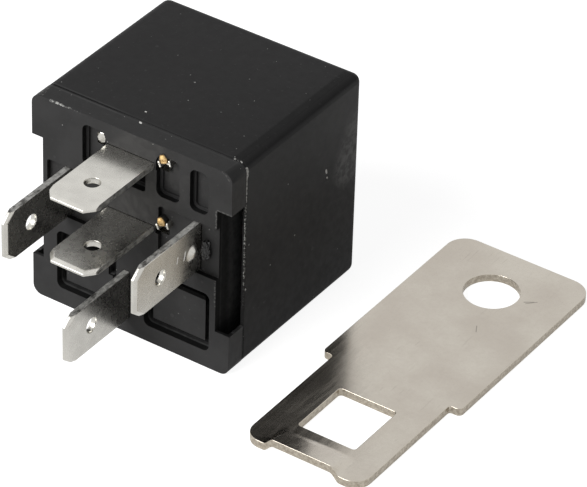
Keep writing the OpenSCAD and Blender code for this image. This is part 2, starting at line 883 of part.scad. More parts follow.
module yoke_rivets() {
    color(nickel_steel)
        for (x = [-yoke_rivet_x, yoke_rivet_x])
            translate([x, yoke_rivet_y, leg_out_z - spring_t - rivet_head_t]) {
                cylinder(h = rivet_head_t, d = rivet_head_d);
                cylinder(h = rivet_head_t + spring_t + yoke_t, d = rivet_d);
            }
}

module armature_rivets() {
    tail_y = armature_y - rivet_tail_t;
    head_y = spring_y + spring_t;
    color(nickel_steel)
        opened()
            for (x = [-armature_rivet_x, armature_rivet_x])
                translate([x, 0, armature_rivet_z]) {
                    rod_y(0, 0, tail_y, head_y + eps, rivet_d);
                    rod_y(0, 0, tail_y, armature_y, rivet_d + rivet_tail_step);
                    rod_y(0, 0, head_y, head_y + rivet_head_t, rivet_head_d);
                }
}

// A domed contact head whose back lies at y = 0 and whose crown is at y = contact_h
module contact_head() {
    intersection() {
        rod_y(0, 0, 0, contact_h, contact_d);
        translate([0, contact_h - contact_crown_r, 0]) sphere(r = contact_crown_r, $fn = 128);
    }
}

module moving_contact() {
    color(contact_silver)
        opened()
            translate([0, 0, contact_z]) {
                translate([0, spring_y + spring_t, 0]) contact_head();
                rod_y(0, 0, spring_y - eps, spring_y + spring_t + eps, contact_stem_d);
                translate([0, spring_y, 0]) mirror([0, 1, 0]) contact_head();
            }
}

module contact_87() {
    color(contact_silver)
        translate([0, no_plate_y, contact_z]) {
            contact_head();
            rod_y(0, 0, -blade_t, eps, contact_stem_d);
            rod_y(0, 0, -blade_t - rivet_tail_t, -blade_t, contact_stem_d + rivet_tail_step);
        }
}

module contact_87a() {
    color(contact_silver)
        translate([0, nc_plate_y, contact_z]) {
            mirror([0, 1, 0]) contact_head();
            rod_y(0, 0, -eps, blade_t, contact_stem_d);
        }
}

// Smooth step from 0 to 1
function smooth(u) = u <= 0 ? 0 : u >= 1 ? 1 : u * u * (3 - 2 * u);

// Height of the lip's lower face at a distance s in from its side and d in from its root
function lip_z(s, d) = lip_rise * smooth(s / lip_run) * smooth(d / lip_root) * d / lip_l;

// Two triangles for the four-sided face a, b, c, d
function quad(a, b, c, d) = [[a, b, c], [a, c, d]];

// The raised lip: a sheet pressed up between the two ears, level with them at its sides and root
module lip() {
    xs = concat(
        [for (i = [0:lip_steps]) -lip_w / 2 + lip_run * i / lip_steps],
        [for (i = [0:lip_steps]) lip_w / 2 - lip_run + lip_run * i / lip_steps]
    );
    nx = len(xs);
    ny = lip_steps + 1;
    points = [
        for (level = [0, bracket_t])
            for (j = [0:ny - 1])
                for (x = xs)
                    let (d = lip_l * j / (ny - 1))
                    [x, lip_l - d, level + lip_z(lip_w / 2 - abs(x), d)]
    ];
    top = nx * ny;
    cells = [for (j = [0:ny - 2]) for (i = [0:nx - 2]) j * nx + i];
    front = (ny - 1) * nx;
    faces = concat(
        [for (a = cells) each quad(a, a + nx, a + nx + 1, a + 1)],
        [for (a = cells) each quad(top + a, top + a + 1, top + a + nx + 1, top + a + nx)],
        [for (i = [0:nx - 2]) each quad(i, i + 1, top + i + 1, top + i)],
        [for (i = [0:nx - 2]) let (a = front + i) each quad(a, top + a, top + a + 1, a + 1)],
        [for (j = [0:ny - 2]) let (a = j * nx) each quad(a, top + a, top + a + nx, a + nx)],
        [for (j = [0:ny - 2]) let (a = j * nx + nx - 1) each quad(a, a + nx, top + a + nx, top + a)]
    );
    polyhedron(points = points, faces = faces);
}

module mounting_bracket() {
    half_w = bracket_w / 2;
    color(nickel_steel)
        translate([bracket_x, front_y, 0]) {
            difference() {
                linear_extrude(bracket_t)
                    difference() {
                        union() {
                            round_rect([-half_w, neck_l], [half_w, neck_l + bracket_l], bracket_r);
                            round_rect([-half_w, neck_l], [half_w, neck_l + bracket_l / 2], shoulder_r);
                            round_rect([-neck_w / 2, 0], [neck_w / 2, neck_l + 2 * ear_r], ear_r);
                        }
                        round_rect([-window_w / 2, window_y], [window_w / 2, window_y + window_l], window_r);
                    }
                translate([0, neck_l + bracket_l - hole_y, -past])
                    cylinder(h = bracket_t + 2 * past, d = hole_d);
                translate([-lip_w / 2, -past, -past])
                    cube([lip_w, lip_l + past, bracket_t + 2 * past]);
            }
            lip();
        }
}

cover();
base();
terminal_87();
terminal_87a();
terminal_86();
terminal_85();
terminal_30();
bobbin();
coil_winding();
coil_core();
yoke();
coil_lead_86();
coil_lead_85();
solder_86();
solder_85();
armature();
contact_spring();
yoke_rivets();
armature_rivets();
moving_contact();
contact_87();
contact_87a();
mounting_bracket();
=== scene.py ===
"""Looks of the plug-in relay and its bracket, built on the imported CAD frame.

Lengths and places are in millimetres, and MM turns them into the scene's metres."""
import json
import math

import bmesh
import bpy
from mathutils import Matrix, Vector, noise
from mathutils.geometry import delaunay_2d_cdt


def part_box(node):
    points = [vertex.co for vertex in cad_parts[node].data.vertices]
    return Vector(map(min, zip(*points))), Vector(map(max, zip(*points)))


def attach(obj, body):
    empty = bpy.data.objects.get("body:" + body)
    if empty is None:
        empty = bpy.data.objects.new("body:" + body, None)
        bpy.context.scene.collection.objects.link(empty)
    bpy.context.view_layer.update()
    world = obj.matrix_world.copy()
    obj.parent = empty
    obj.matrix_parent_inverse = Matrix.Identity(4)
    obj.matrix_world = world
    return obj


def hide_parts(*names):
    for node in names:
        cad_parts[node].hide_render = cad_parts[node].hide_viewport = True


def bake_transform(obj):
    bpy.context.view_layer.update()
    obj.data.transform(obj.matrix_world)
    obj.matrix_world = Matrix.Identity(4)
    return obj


MM = 0.001
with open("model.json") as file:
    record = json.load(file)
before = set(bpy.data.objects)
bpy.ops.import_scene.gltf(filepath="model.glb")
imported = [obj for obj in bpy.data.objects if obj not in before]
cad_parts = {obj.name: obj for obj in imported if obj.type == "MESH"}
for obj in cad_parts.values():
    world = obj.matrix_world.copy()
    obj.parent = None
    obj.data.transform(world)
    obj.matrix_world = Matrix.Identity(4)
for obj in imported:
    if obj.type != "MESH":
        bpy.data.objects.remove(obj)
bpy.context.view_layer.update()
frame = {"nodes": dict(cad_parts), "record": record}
nodes = frame["nodes"]

# Cover, as in the CAD source
COVER_WALL = 1.2
COVER_R = 1.1
COVER_BACK_R = 1.1
NOTCH_RIM = 0.4

# Base, as in the CAD source: its face, its side notches and depths behind the face
FACE_Y = -2.7
NOTCH_H = 16.3
NOTCH_RIGHT = 1.95
NOTCH_LEFT = 1.5
STEP_D = 0.7
PANEL_D = 0.6

# Blades, as in the CAD source
BLADE_W = 6.3
BLADE_T = 0.8
TIP_CUT_L = 1.15
TIP_CUT_W = 0.95
TIP_T = 0.3
DETENT_D = 1.9
DETENT_Y = 4.7

# Bracket, as in the CAD source
SHEET_T = 1.0
NECK_W = 15.5
NECK_L = 17.7
HOLE_D = 6.6
HOLE_Y = 7.5
WINDOW_W = 7.5
WINDOW_L = 8.3
WINDOW_Y = 4.9
BRACKET_R = 2.6
EAR_R = 2.1
LIP_W = 10.0
LIP_L = 4.0
LIP_RISE = 1.0

# Finer shapes of the cover: its stand-off from the collar, its rounded front edge, the length of
# its thin rim, and the steps along its sides, around its corners and over its back edge
SEAM_GAP = 0.13
FRONT_R = 0.08
FRONT_CUT = 0.025
RIM_L = 3.0
SIDE_STEPS = 12
CORNER_STEPS = 10
BACK_STEPS = 8

# Widths of the rounded edges, and a depth that an edge of the base stays within
BASE_SOFT = 0.12
BLADE_SOFT = 0.06
NIB_SOFT = 0.08
SHEET_SOFT = 0.13
EDGE_REACH = 0.14

# Where the painted shade of the base changes: a depth in its recesses and a height on its panels
DEEP_D = 0.8
PANEL_SHADE_Z = 8.62

# Finer shapes of the blades: their root and how far the CAD node laps over it, the coined bevel
# and how much narrower it is at the corner cuts, and the dimple of blades 85 and 86
ROOT_Y = -1.9
ROOT_LAP = 0.3
COIN_W = 0.48
COIN_CUT = 1.15
DIMPLE_W = 2.65
DIMPLE_L = 2.5
DIMPLE_H = 0.36
DIMPLE_SLOPE = 0.75
DIMPLE_RINGS = 8
DIMPLE_PLACE = (0.2, FACE_Y - DIMPLE_W / 2 + 0.45)
DIMPLE_SIDES = {"terminal_85": 1, "terminal_86": -1}

# Staked nibs beside the horizontal blades: place, tilt, length and how their front end draws in
NIB_X = 4.4
NIB_UP = 1.3
NIB_SHIFT = {"terminal_87": 0.2}
NIB_OUT = 0.2
NIB_TILT = 22.0
NIB_L = 1.2
NIB_DRAW = 0.12
NIB_DRAW_SHARE = 0.86
LEFT_NIB_X = -4.05
LEFT_NIB_UP = 0.75
LEFT_NIB_IN = 0.2

# Finer shapes of the bracket: roundings, and the bend of its lip with the points that carry it
SHOULDER_R = 0.6
NECK_FILLET = 0.3
WINDOW_R = 0.4
LIP_RUN = 1.3
LIP_STEPS = 8
LIP_ROWS = 16
LIP_INSET = 0.14

# Camera, lamp, floor and surroundings
CAMERA_AZIMUTH = 33.492
CAMERA_ELEVATION = 35.497
CAMERA_ROLL = 1.832
CAMERA_DISTANCE = 509.2
CAMERA_TARGET = (6.63, 20.12, 2.21)
CAMERA_LENS = 271.1
CAMERA_SENSOR = 36
CAMERA_NEAR = 10.0
KEY_PLACE = (-200, -450, 340)
KEY_AIM = (10, 5, 10)
KEY_SIZE = 500
KEY_POWER = 4.0
WORLD_FILL = 0.12
FLOOR_HALF = 2500
FLOOR_DROP = 0.02
FLOOR_TONE = 0.5
FLOOR_MIRRORED = 0.58
FLOOR_SEEN = 0.90

# Tones of wear, dust, dark joints, painted highlights and painted shade
WHITE = (0.85, 0.84, 0.80)
PALE = (0.30, 0.30, 0.29)
DULL = (0.12, 0.12, 0.115)
SHADE = (0.006, 0.006, 0.006)
METAL_BRIGHT = (0.95, 0.94, 0.90)
METAL_DULL = (0.24, 0.22, 0.19)

# Material indices of the base's faces: open, and with painted shade in recesses and notches
OPEN, RECESS_SHADE, RIGHT_NOTCH_SHADE, LEFT_NOTCH_SHADE = range(4)

ACROSS = ("terminal_87", "terminal_87a")
TERMINALS = ACROSS + ("terminal_86", "terminal_85", "terminal_30")


def box_mm(node):
    """Lowest and highest corner of a CAD node in millimetres."""
    low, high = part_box(node)
    return low / MM, high / MM


def blade_places():
    """Middle of each blade across X and Z, from the CAD nodes."""
    places = {}
    for node in TERMINALS:
        co = [v.co / MM for v in nodes[node].data.vertices if v.co.y / MM < BLADE_TIP_Y + 2]
        places[node] = [(min(c[i] for c in co) + max(c[i] for c in co)) / 2 for i in (0, 2)]
    return places


BASE_LOW, BASE_HIGH = box_mm("base")
BASE_MID_Z = (BASE_LOW.z + BASE_HIGH.z) / 2
COVER_LOW, COVER_HIGH = box_mm("cover")
BRACKET_LOW, BRACKET_HIGH = box_mm("mounting_bracket")
BRACKET_MID_X = (BRACKET_LOW.x + BRACKET_HIGH.x) / 2
BLADE_TIP_Y = box_mm("terminal_30")[0].y
BLADE_PLACES = blade_places()


# Node materials

class Shader:
    """A node material, built by calls that take values or sockets."""

    def __init__(self, name):
        self.material = bpy.data.materials.new(name)
        self.material.use_nodes = True
        self.tree = self.material.node_tree
        self.tree.nodes.clear()
        self.output = self.tree.nodes.new("ShaderNodeOutputMaterial")
        self.place = self.add("ShaderNodeTexCoord").outputs["Object"]

    def add(self, kind, inputs=None, **settings):
        """A new node with its settings, and with its inputs set to values or linked to sockets."""
        node = self.tree.nodes.new(kind)
        for key, value in settings.items():
            setattr(node, key, value)
        for key, value in (inputs or {}).items():
            if isinstance(value, bpy.types.NodeSocket):
                self.tree.links.new(value, node.inputs[key])
            else:
                node.inputs[key].default_value = value
        return node

    def math(self, operation, a, b=0.0):
        """One or two values put through a math node."""
        return self.add("ShaderNodeMath", {0: a, 1: b}, operation=operation).outputs[0]

    def chain(self, operation, values):
        """Two or more values put through math nodes, from left to right."""
        total = values[0]
        for value in values[1:]:
            total = self.math(operation, total, value)
        return total

    def times(self, *values):
        """The product of the values."""
        return self.chain("MULTIPLY", values)

    def plus(self, *values):
        """The sum of the values."""
        return self.chain("ADD", values)

    def most(self, *values):
        """The highest of the values."""
        return self.chain("MAXIMUM", values)

    def vector(self, operation, a, b=(0, 0, 0)):
        """One or two vectors put through a vector math node."""
        return self.add("ShaderNodeVectorMath", {0: a, 1: b}, operation=operation)

    def noise(self, scale, detail=3.0, rough=0.55, place=None):
        """Noise from 0 to 1 whose features are about 1/scale millimetres."""
        node = self.add("ShaderNodeTexNoise", {
            "Vector": place or self.place, "Scale": scale / MM, "Detail": detail, "Roughness": rough,
        })
        return node.outputs["Fac"]

    def stretched(self, factors, turn=(0, 0, 0)):
        """The place, turned and scaled, so that noise runs in streaks."""
        node = self.add("ShaderNodeMapping", {
            "Vector": self.place, "Rotation": turn, "Scale": factors,
        })
        return node.outputs[0]

    def ramp(self, value, low, high, to_low=0.0, to_high=1.0):
        """A smooth step from to_low, where the value is low or less, to to_high, where it is high."""
        node = self.add("ShaderNodeMapRange", {
            "Value": value, "From Min": low, "From Max": high, "To Min": to_low, "To Max": to_high,
        }, interpolation_type="SMOOTHSTEP")
        return node.outputs["Result"]

    def fade(self, value, low, high, top=1.0):
        """A smooth step from top, where the value is low or less, to 0."""
        return self.ramp(value, low, high, top, 0.0)

    def mix(self, factor, a, b):
        """Colour a where the factor is 0, and b where it is 1."""
        node = self.add("ShaderNodeMix", {"Factor": factor, 6: a, 7: b}, data_type="RGBA")
        return node.outputs[2]

    def bump(self, height, distance_mm, strength=1.0):
        """A normal from a height."""
        inputs = {"Height": height, "Distance": distance_mm * MM, "Strength": strength}
        return self.add("ShaderNodeBump", inputs).outputs["Normal"]

    def axes(self):
        """The place on the object in millimetres, as three values."""
        node = self.add("ShaderNodeSeparateXYZ", {0: self.place})
        return [self.math("DIVIDE", socket, MM) for socket in node.outputs]

    def facing(self, kind="True Normal"):
        """The direction that the surface faces, as three values."""
        direction = self.add("ShaderNodeNewGeometry").outputs[kind]
        return self.add("ShaderNodeSeparateXYZ", {0: direction}).outputs

    def near_segment(self, a, b, reach):
        """1 close to the segment between two points in millimetres, and 0 from reach on."""
        start, span = Vector(a) * MM, (Vector(b) - Vector(a)) * MM
        offset = self.vector("SUBTRACT", self.place, start).outputs["Vector"]
        along = self.vector("DOT_PRODUCT", offset, span / span.length_squared).outputs["Value"]
        along = self.math("MINIMUM", self.math("MAXIMUM", along, 0.0), 1.0)
        foot = self.add("ShaderNodeVectorMath", {0: span, 3: along}, operation="SCALE")
        distance = self.vector("DISTANCE", offset, foot.outputs["Vector"]).outputs["Value"]
        return self.fade(distance, 0.35 * reach * MM, reach * MM)

    def specks(self, cell_mm, radius, keep, seed):
        """Small spots: one to a cell at most, in the share keep of the cells."""
        shift = (seed * 0.137, seed * 0.071, seed * 0.213)
        cells = self.add("ShaderNodeTexVoronoi", {
            "Vector": self.vector("ADD", self.place, shift).outputs["Vector"],
            "Scale": 1.0 / (cell_mm * MM), "Randomness": 1.0,
        }, feature="F1")
        pick = self.add("ShaderNodeSeparateColor", {0: cells.outputs["Color"]}).outputs
        size = self.times(pick[1], radius / cell_mm)
        inside = self.math("LESS_THAN", cells.outputs["Distance"], size)
        return self.times(inside, self.math("LESS_THAN", pick[0], keep))

    def surface(self, **inputs):
        """The finished material, with the given inputs of its surface."""
        names = {
            "color": "Base Color", "metal": "Metallic", "rough": "Roughness", "normal": "Normal",
            "specular": "Specular IOR Level",
        }
        node = self.add("ShaderNodeBsdfPrincipled", {names[k]: v for k, v in inputs.items()})
        self.tree.links.new(node.outputs["BSDF"], self.output.inputs["Surface"])
        return self.material


def rgb(r, g, b):
    """An opaque colour."""
    return (r, g, b, 1.0)


def grey(tone):
    """An opaque grey."""
    return (tone, tone, tone, 1.0)


def scaled(color, share):
    """An opaque colour with the share of each part of a colour."""
    return rgb(*[part * share for part in color])


def cover_smudge_and_painted_light(s, color):
    """The cover's painted light and shade, and a smudge.

    Its right side is painted lighter high up and towards the back, as light, and has a smudge in the
    middle. The back edge has a painted highlight. The rounded edge between the top and the right
    side, a strip beside it and the top's right front corner have painted shade."""
    x, y, z = s.axes()
    n = s.facing("Normal")
    on_right = s.ramp(n[0], 0.75, 0.95)
    # painted light: the right side is lighter high up and towards the back
    upper_side_light = s.mix(s.ramp(y, 8.0, 26.0), grey(0.075), grey(0.13))
    color = s.mix(s.times(on_right, s.ramp(z, 11.0, 29.0)), color, upper_side_light)
    cloud = s.ramp(s.noise(1.3, 4.0), 0.35, 0.65, 0.3, 1.0)
    smudge = s.near_segment((COVER_HIGH.x, 22.4, 20.5), (COVER_HIGH.x, 20.6, 16.4), 4.0)
    color = s.mix(s.times(smudge, cloud, on_right), color, grey(0.19))
    # painted shade on the rounded edge between top and right side, and on a strip of the top beside it
    x_edge = COVER_HIGH.x - COVER_R
    strip = s.times(s.ramp(x, x_edge - 1.0, x_edge - 0.6, 0.0, 0.8), s.ramp(n[2], 0.97, 0.995))
    rounding = s.ramp(s.times(n[0], n[2]), 0.05, 0.2, 0.0, 0.26)
    color = s.mix(s.most(rounding, strip), color, rgb(*SHADE))
    # painted highlight: the back edge is lighter
    back = s.ramp(s.times(n[1], n[2]), 0.05, 0.3, 0.0, 0.6)
    color = s.mix(back, color, grey(0.08))
    # painted shade towards the top's right front corner
    corner = s.ramp(s.math("SUBTRACT", x, s.times(y, 0.5)), -6.0, 12.0, 0.0, 0.3)
    return s.mix(s.times(corner, s.ramp(n[2], 0.9, 0.98)), color, rgb(*SHADE))


def seam_tones(s, color, chips):
    """The dark joint between collar and cover at y = 0, with a grey edge beside it.

    It is fainter right of the middle, apart from the lowest 5 mm."""
    x, y, z = s.axes()
    beside = s.math("ABSOLUTE", y)
    strength = s.ramp(s.plus(x, s.times(chips, 4.0)), -3.0, 0.5, 1.0, 0.3)
    end_face = s.times(s.fade(s.facing()[1], -0.9, -0.6), s.fade(beside, 0.3, 0.4))
    joint = s.times(s.most(s.fade(beside, 0.12, 0.18), end_face), strength)
    low_joint = s.times(s.fade(z, 4.8, 5.4), s.fade(beside, 0.2, 0.26))
    edge = s.times(s.ramp(beside, 0.2, 0.26), s.fade(beside, 0.36, 0.5, 0.45))
    color = s.mix(s.times(edge, strength), color, grey(0.07))
    return s.mix(s.most(joint, low_joint), color, grey(0.001))


def dusty(s, color):
    """Sparse dust in small light specks, and faint larger spots and clouds."""
    dust = s.most(s.specks(1.5, 0.13, 0.35, 1), s.specks(0.8, 0.06, 0.4, 2))
    color = s.mix(s.times(dust, 0.6), color, rgb(0.46, 0.46, 0.44))
    faint = s.most(s.specks(2.2, 0.3, 0.3, 3), s.ramp(s.noise(2.2, 3.0), 0.62, 0.75))
    return s.mix(s.times(faint, 0.12), color, grey(0.13))


def black_plastic(name, tone, rough, specular, marks=(), top=1.0, tones=None):
    """Moulded black plastic with a fine texture, sparse dust, a dark seam at y = 0 and marks.

    top is the share of its tone that faces looking up take, as painted shade where it is below 1,
    and tones adds painted light and shade and other larger differences.
    A mark is (a, b, reach, amount, tone): a segment in millimetres along which the surface has wear,
    dust, a dark mark or a painted highlight. A higher amount covers more of it."""
    s = Shader(name)
    mottle = s.noise(0.25, 4.0)
    grain = s.noise(9.0, 2.0)
    swirl = s.noise(1.2, 3.0)
    chips = s.noise(3.4, 6.0, 0.75)
    color = s.mix(s.ramp(mottle, 0.35, 0.65), scaled(tone, 0.88), scaled(tone, 1.12))
    # painted shade where top is below 1: faces that look up take that share of the tone
    color = s.mix(s.ramp(s.facing()[2], 0.5, 0.9), color, scaled(tone, top))
    color = tones(s, color) if tones else color
    color = seam_tones(s, color, chips)
    # marks of wear, dust and dark, and painted highlights
    for a, b, reach, amount, mark_tone in marks:
        wear_and_highlight = s.plus(s.near_segment(a, b, reach), chips)
        color = s.mix(s.ramp(wear_and_highlight, 1.66 - amount, 1.74 - amount), color, rgb(*mark_tone))
    color = dusty(s, color)
    roughness = s.ramp(swirl, 0.3, 0.7, rough - 0.04, rough + 0.05)
    height = s.plus(s.times(grain, 0.6), s.times(swirl, 0.8))
    return s.surface(color=color, rough=roughness, specular=specular, normal=s.bump(height, 0.012, 0.6))


def painted_shade_plastic(name, near, far, floor, deepest, marks=()):
    """The same plastic with painted shade where little light gets in, on the walls of recesses and
    notches.

    near and far are the tones close to the rim and from DEEP_D behind it, where a lighter line runs
    as a painted highlight. floor is the tone of the ground, with painted shade high up, and deepest
    that from 3 mm behind the face on. Walls that face up have painted shade.
    A mark is (a, b, reach): a segment in millimetres along which the surface is painted black, as
    shadow."""
    s = Shader(name)
    _, y, z = s.axes()
    facing = s.facing()
    depth = s.math("SUBTRACT", y, FACE_Y)
    # painted shade: darker on walls that face up, high on the ground and deep inside, with a painted
    # highlight as a lighter line
    up = s.ramp(facing[2], 0.2, 0.8)
    rim = s.mix(up, grey(near), grey(0.55 * near))
    deep = s.mix(up, grey(far), grey(0.8 * far))
    behind = s.ramp(depth, DEEP_D, DEEP_D + 0.1)
    color = s.mix(behind, rim, deep)
    color = s.mix(s.times(behind, s.fade(depth, 1.05, 1.15)), color, grey(1.4 * far))
    ground = s.times(s.ramp(s.math("ABSOLUTE", facing[1]), 0.7, 0.9), s.ramp(depth, 1.2, 1.4))
    color = s.mix(ground, color, s.mix(s.ramp(z, 10.5, 11.5), grey(floor), grey(0.3 * floor)))
    color = s.mix(s.ramp(depth, 1.8, 3.2), color, grey(deepest))
    for a, b, reach in marks:
        color = s.mix(s.near_segment(a, b, reach), color, grey(0.002))
    color = s.mix(s.ramp(s.noise(1.5, 4.0), 0.35, 0.7, 0.0, 0.35), color, grey(0.005))
    return s.surface(color=color, rough=0.7, specular=0.03, normal=s.bump(s.noise(3.0, 4.0), 0.03, 0.6))


def tinned_metal(name, marks=()):
    """Tin plated sheet: satin, faintly clouded, with fine scratches and a few stains.

    A mark is (a, b, reach): a segment in millimetres that is scratched bright."""
    s = Shader(name)
    fine = s.noise(1.6, 2.0)
    cloud = s.noise(0.45, 2.0, 0.5)
    stains = s.noise(1.0, 2.0, 0.5)
    scratches = s.noise(3.0, 2.0, place=s.stretched((1.0, 0.05, 1.0), (0.0, 0.0, 0.35)))
    color = s.mix(s.ramp(cloud, 0.3, 0.7), rgb(0.585, 0.57, 0.53), rgb(0.645, 0.63, 0.585))
    color = s.mix(s.ramp(stains, 0.6, 0.85, 0.0, 0.2), color, rgb(0.44, 0.415, 0.38))
    rough = s.plus(s.ramp(fine, 0.3, 0.7, 0.245, 0.275), s.ramp(stains, 0.4, 0.7, 0.0, 0.035))
    for a, b, reach in marks:
        here = s.near_segment(a, b, reach)
        color = s.mix(here, color, rgb(0.95, 0.95, 0.93))
        rough = s.plus(rough, s.times(here, 0.3))
    height = s.plus(s.times(cloud, 2.5), s.times(scratches, 0.2))
    return s.surface(color=color, metal=1.0, rough=rough, normal=s.bump(height, 0.003, 0.5))


def sheared_edge():
    """The cut sides of the blades: rough, dull and streaked, with painted light close to the base."""
    s = Shader("sheared_edge")
    y = s.axes()[1]
    grain = s.noise(2.2, 5.0, 0.7, s.stretched((1.0, 0.4, 1.0)))
    # painted light: the tone rises towards the base
    dull = s.ramp(y, -9.0, -4.0, 0.12, 0.42)
    pits = s.ramp(s.noise(1.1, 3.0), 0.5, 0.62, 0.0, 0.22)
    tone = s.math("SUBTRACT", s.plus(dull, s.ramp(grain, 0.35, 0.65, 0.0, 0.42)), pits)
    color = s.mix(tone, rgb(0.06, 0.058, 0.053), rgb(*METAL_BRIGHT))
    return s.surface(color=color, metal=0.5, rough=0.4, normal=s.bump(grain, 0.02, 0.6))


def hair_scratches(s):
    """Thin scratches in three directions, in patches."""
    lines = []
    for turn, low in ((0.5, 0.69), (-0.9, 0.70), (1.3, 0.71)):
        streaks = s.noise(3.5, 1.0, 0.5, s.stretched((1.0, 0.06, 1.0), (0.0, 0.0, turn)))
        lines.append(s.ramp(streaks, low, low + 0.04))
    return s.times(s.most(*lines), s.ramp(s.noise(0.3, 2.0), 0.5, 0.6, 0.0, 0.16))


def nickel_sheet(marks=()):
    """Nickel plated sheet: satin with rolling lines, clouds, hair scratches and dull cut edges.

    A mark is (a, b, reach, tone): a scratched or bright segment in millimetres."""
    s = Shader("nickel_steel")
    rolled = s.noise(3.0, 3.0, place=s.stretched((1.0, 0.06, 1.0)))
    cloud = s.noise(0.12, 4.0)
    fine = s.noise(14.0, 3.0)
    grain = s.noise(2.5, 4.0, 0.65)
    color = s.mix(s.ramp(cloud, 0.3, 0.7), rgb(0.49, 0.447, 0.39), rgb(0.57, 0.532, 0.468))
    color = s.mix(s.ramp(grain, 0.35, 0.65, 0.0, 0.10), color, rgb(0.38, 0.34, 0.29))
    wall = s.fade(s.math("ABSOLUTE", s.facing()[2]), 0.5, 0.85)
    sheared = s.mix(s.ramp(grain, 0.3, 0.7), rgb(0.27, 0.225, 0.17), rgb(0.56, 0.51, 0.42))
    color = s.mix(s.times(wall, 0.75), color, sheared)
    color = s.mix(hair_scratches(s), color, rgb(0.30, 0.275, 0.24))
    for a, b, reach, tone in marks:
        color = s.mix(s.times(s.near_segment(a, b, reach), 0.8), color, rgb(*tone))
    rough = s.plus(s.ramp(rolled, 0.3, 0.7, 0.14, 0.20), s.ramp(cloud, 0.3, 0.7, 0.0, 0.05))
    rough = s.plus(rough, s.times(wall, 0.15))
    height = s.plus(s.times(rolled, 0.5), s.times(fine, 0.35))
    return s.surface(color=color, metal=1.0, rough=rough, normal=s.bump(height, 0.004, 0.4))


def bare_brass():
    """Bare brass at the nib's end, and painted shade, near black, on the cap's sides behind it."""
    s = Shader("sheared_brass")
    y = s.axes()[1]
    # painted shade: the cap is near black behind its front end
    side_shade = s.ramp(y, FACE_Y - NIB_OUT + 0.02, FACE_Y - NIB_OUT + 0.12)
    color = s.mix(s.ramp(s.noise(4.0, 4.0), 0.3, 0.7), rgb(0.34, 0.21, 0.08), rgb(0.60, 0.43, 0.22))
    color = s.mix(side_shade, color, rgb(0.02, 0.019, 0.018))
    metal = s.math("SUBTRACT", 1.0, side_shade)
    return s.surface(color=color, metal=metal, rough=0.35, normal=s.bump(s.noise(6.0, 3.0), 0.02, 0.8))


def plain_metal(name, color, rough, bands=None):
    """Metal of an inner piece, with fine mottling, or wound bands along Y and painted shade between."""
    s = Shader(name)
    cloud = s.noise(0.8, 4.0)
    height = s.noise(8.0, 3.0)
    tone = s.mix(s.ramp(cloud, 0.3, 0.7), scaled(color, 0.82), rgb(*color))
    if bands:
        turns = s.math("SINE", s.times(s.axes()[1], 2 * math.pi / bands))
        height = s.plus(turns, s.times(height, 0.1))
        # painted shade in the grooves between the wound turns
        tone = s.mix(s.ramp(turns, -1.0, 0.2), scaled(color, 0.3), tone)
    roughness = s.ramp(cloud, 0.3, 0.7, rough, rough + 0.1)
    normal = s.bump(height, 0.05 if bands else 0.008, 0.6)
    return s.surface(color=tone, metal=1.0, rough=roughness, normal=normal)


def pale_plastic(name, color):
    """Moulded plastic of the bobbin, faintly clouded."""
    s = Shader(name)
    tone = s.mix(s.ramp(s.noise(0.5, 3.0), 0.3, 0.7), scaled(color, 0.92), rgb(*color))
    return s.surface(color=tone, rough=0.5, normal=s.bump(s.noise(6.0, 3.0), 0.01, 0.5))


# Pieces and their meshes

def add_object(name, data):
    """A new object in the scene from a mesh, a camera or a lamp."""
    item = bpy.data.objects.new(name, data)
    bpy.context.scene.collection.objects.link(item)
    return item


def paint(mesh, material):
    """Gives a mesh this material and no other."""
    mesh.materials.clear()
    mesh.materials.append(material)


def link(name, mesh, material=None, *, replace=()):
    """A new piece from a mesh in metres, riding on the root body."""
    piece = add_object(name, mesh)
    if material:
        paint(mesh, material)
    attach(piece, "root")
    if replace:
        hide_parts(*replace)
    return piece


def loose(name, mesh, material, place):
    """An object that is only built to be joined into another."""
    piece = add_object(name, mesh)
    paint(mesh, material)
    piece.matrix_world = place
    bpy.context.view_layer.update()
    return piece


def join(name, pieces):
    """One mesh from several objects' meshes, each at its own place."""
    bm = bmesh.new()
    materials = []
    for piece in pieces:
        mesh = piece.data.copy()
        mesh.transform(piece.matrix_world)
        start = len(bm.faces)
        bm.from_mesh(mesh)
        bm.faces.ensure_lookup_table()
        for face in bm.faces[start:]:
            material = mesh.materials[face.material_index]
            if material not in materials:
                materials.append(material)
            face.material_index = materials.index(material)
    joined = to_mesh(bm, name)
    for material in materials:
        joined.materials.append(material)
    for piece in pieces:
        bpy.data.objects.remove(piece)
    return joined


def to_mesh(bm, name):
    """A new mesh from a bmesh, which is freed."""
    mesh = bpy.data.meshes.new(name)
    bm.to_mesh(mesh)
    bm.free()
    return mesh


def bake(piece):
    """Puts a piece's modifiers into its mesh."""
    graph = bpy.context.evaluated_depsgraph_get()
    mesh = bpy.data.meshes.new_from_object(piece.evaluated_get(graph))
    old = piece.data
    piece.modifiers.clear()
    piece.data = mesh
    bpy.data.meshes.remove(old)


def smooth_edges(mesh, degrees):
    """Smooth shading, with creases where faces meet at more than the angle."""
    mesh.shade_smooth()
    mesh.set_sharp_from_angle(angle=math.radians(degrees))


def soften(piece, width_mm, segments, degrees):
    """Rounds the edges of a piece that are sharper than the angle."""
    bevel = piece.modifiers.new("soft_edges", "BEVEL")
    bevel.width = width_mm * MM
    bevel.segments = segments
    bevel.limit_method = "ANGLE"
    bevel.angle_limit = math.radians(degrees)
    bake(piece)


def even_normals(piece):
    """Lets the large flat faces keep their own direction, so that only the rounded edges shade."""
    smooth_edges(piece.data, 60)
    weighted = piece.modifiers.new("even_normals", "WEIGHTED_NORMAL")
    weighted.weight = 100
    weighted.keep_sharp = True
    bake(piece)


